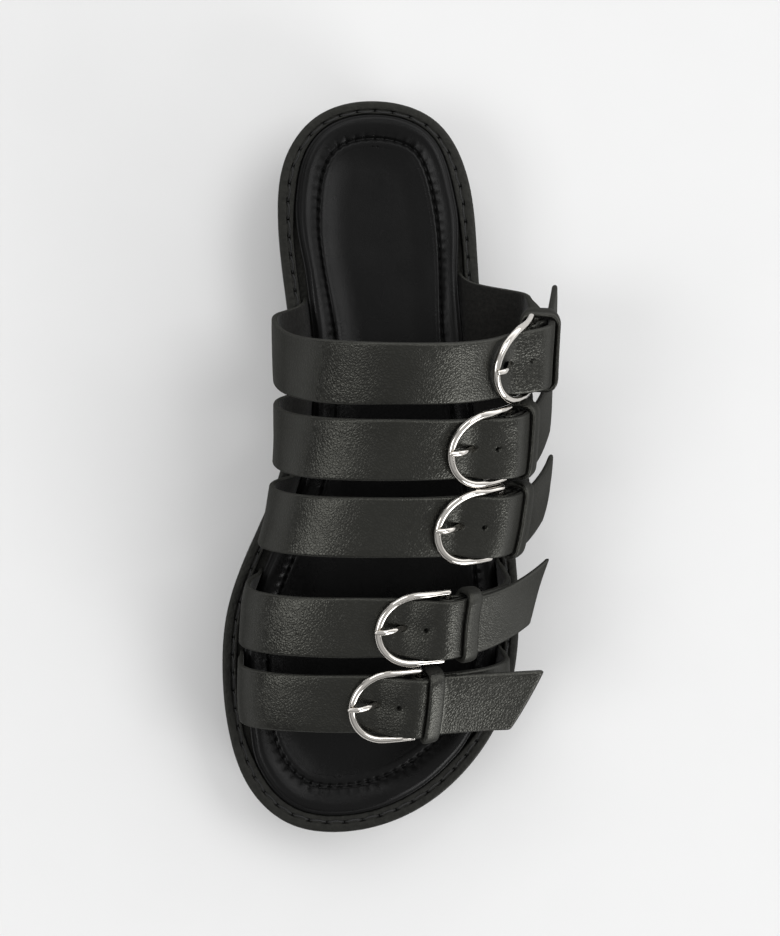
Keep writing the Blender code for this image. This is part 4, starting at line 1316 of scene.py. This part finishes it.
def soft_light(name, way, wide, deep, power):
    """Area light in a direction from the shoe, that looks at the shoe. Its wide side lies level."""
    lamp = bpy.data.lights.new(name, "AREA")
    lamp.shape = "RECTANGLE"
    lamp.size = wide
    lamp.size_y = deep
    lamp.energy = power
    made = bpy.data.objects.new(name, lamp)
    made.location = SHOE_MIDDLE + Vector(way).normalized() * LIGHT_DISTANCE
    made.rotation_euler = Vector(way).to_track_quat("Z", "Y").to_euler()
    bpy.context.scene.collection.objects.link(made)


for row in LIGHT_ROWS:
    soft_light(*row)
print("lights:", len(LIGHT_ROWS))

# %% [markdown]
# ## Surround
# A pale studio stands round the shoe. Its brightness depends on the direction alone: pale above, a
# glow low behind the heel on the buckles' side, and a thin haze at the horizon.

# %% Surround
world = bpy.data.worlds.new("pale_surround")
bpy.context.scene.world = world
world.use_nodes = True
sky = world.node_tree
way = add_node(sky, "TexCoord").outputs["Generated"]
rise = add_node(sky, "SeparateXYZ", {0: way}).outputs["Z"]
above = add_node(sky, "MapRange", {"Value": rise, "From Min": 0.1, "From Max": 0.9, "To Max": 0.66},
                 interpolation_type="SMOOTHSTEP")
low = add_node(sky, "MapRange", {"Value": rise, "From Min": 0.2, "From Max": 0.8, "To Min": 2.1,
                                 "To Max": 0.0}, interpolation_type="SMOOTHSTEP")
haze = add_node(sky, "MapRange", {"Value": rise, "From Min": 0.1, "From Max": 0.3, "To Min": 0.55,
                                  "To Max": 0.0}, interpolation_type="SMOOTHSTEP")
behind = add_node(sky, "VectorMath", {0: way, 1: (0.5, 0.866, 0.0)}, operation="DOT_PRODUCT")
behind = add_node(sky, "Math", {0: behind.outputs["Value"], 1: 0.0}, operation="MAXIMUM")
glow = add_node(sky, "Math", {0: low.outputs[0], 1: behind.outputs[0], 2: above.outputs[0]},
                operation="MULTIPLY_ADD")
level = add_node(sky, "Math", {0: glow.outputs[0], 1: haze.outputs[0]}, operation="ADD")
sky.links.new(level.outputs[0], sky.nodes["Background"].inputs["Strength"])
sky.nodes["Background"].inputs["Color"].default_value = linear("#FFFFFF")
bpy.context.scene.view_settings.view_transform = "Standard"
print("surround:", world.name)

# %% [markdown]
# ## Camera
# The camera hangs half a metre over the floor, a little to the big-toe side of the shoe, and looks
# almost straight down. It is turned a few degrees towards the shoe to frame it, with no shift.

# %% Camera
CAMERA_PLACE = Vector((-0.046, -0.092, 0.550))
AIM = Vector((0.0972, -0.0054, -1.0))
camera_data = bpy.data.cameras.new("camera")
camera_data.lens = 55.5
camera_data.sensor_width = 36.0
camera = bpy.data.objects.new("camera", camera_data)
back = -AIM.normalized()
right = Vector((0.0, 1.0, 0.0)).cross(back).normalized()
turned = Matrix((right, back.cross(right), back)).transposed()
camera.matrix_world = Matrix.Translation(CAMERA_PLACE) @ turned.to_4x4()
bpy.context.scene.collection.objects.link(camera)
bpy.context.scene.camera = camera
print("lens:", camera_data.lens, "mm")
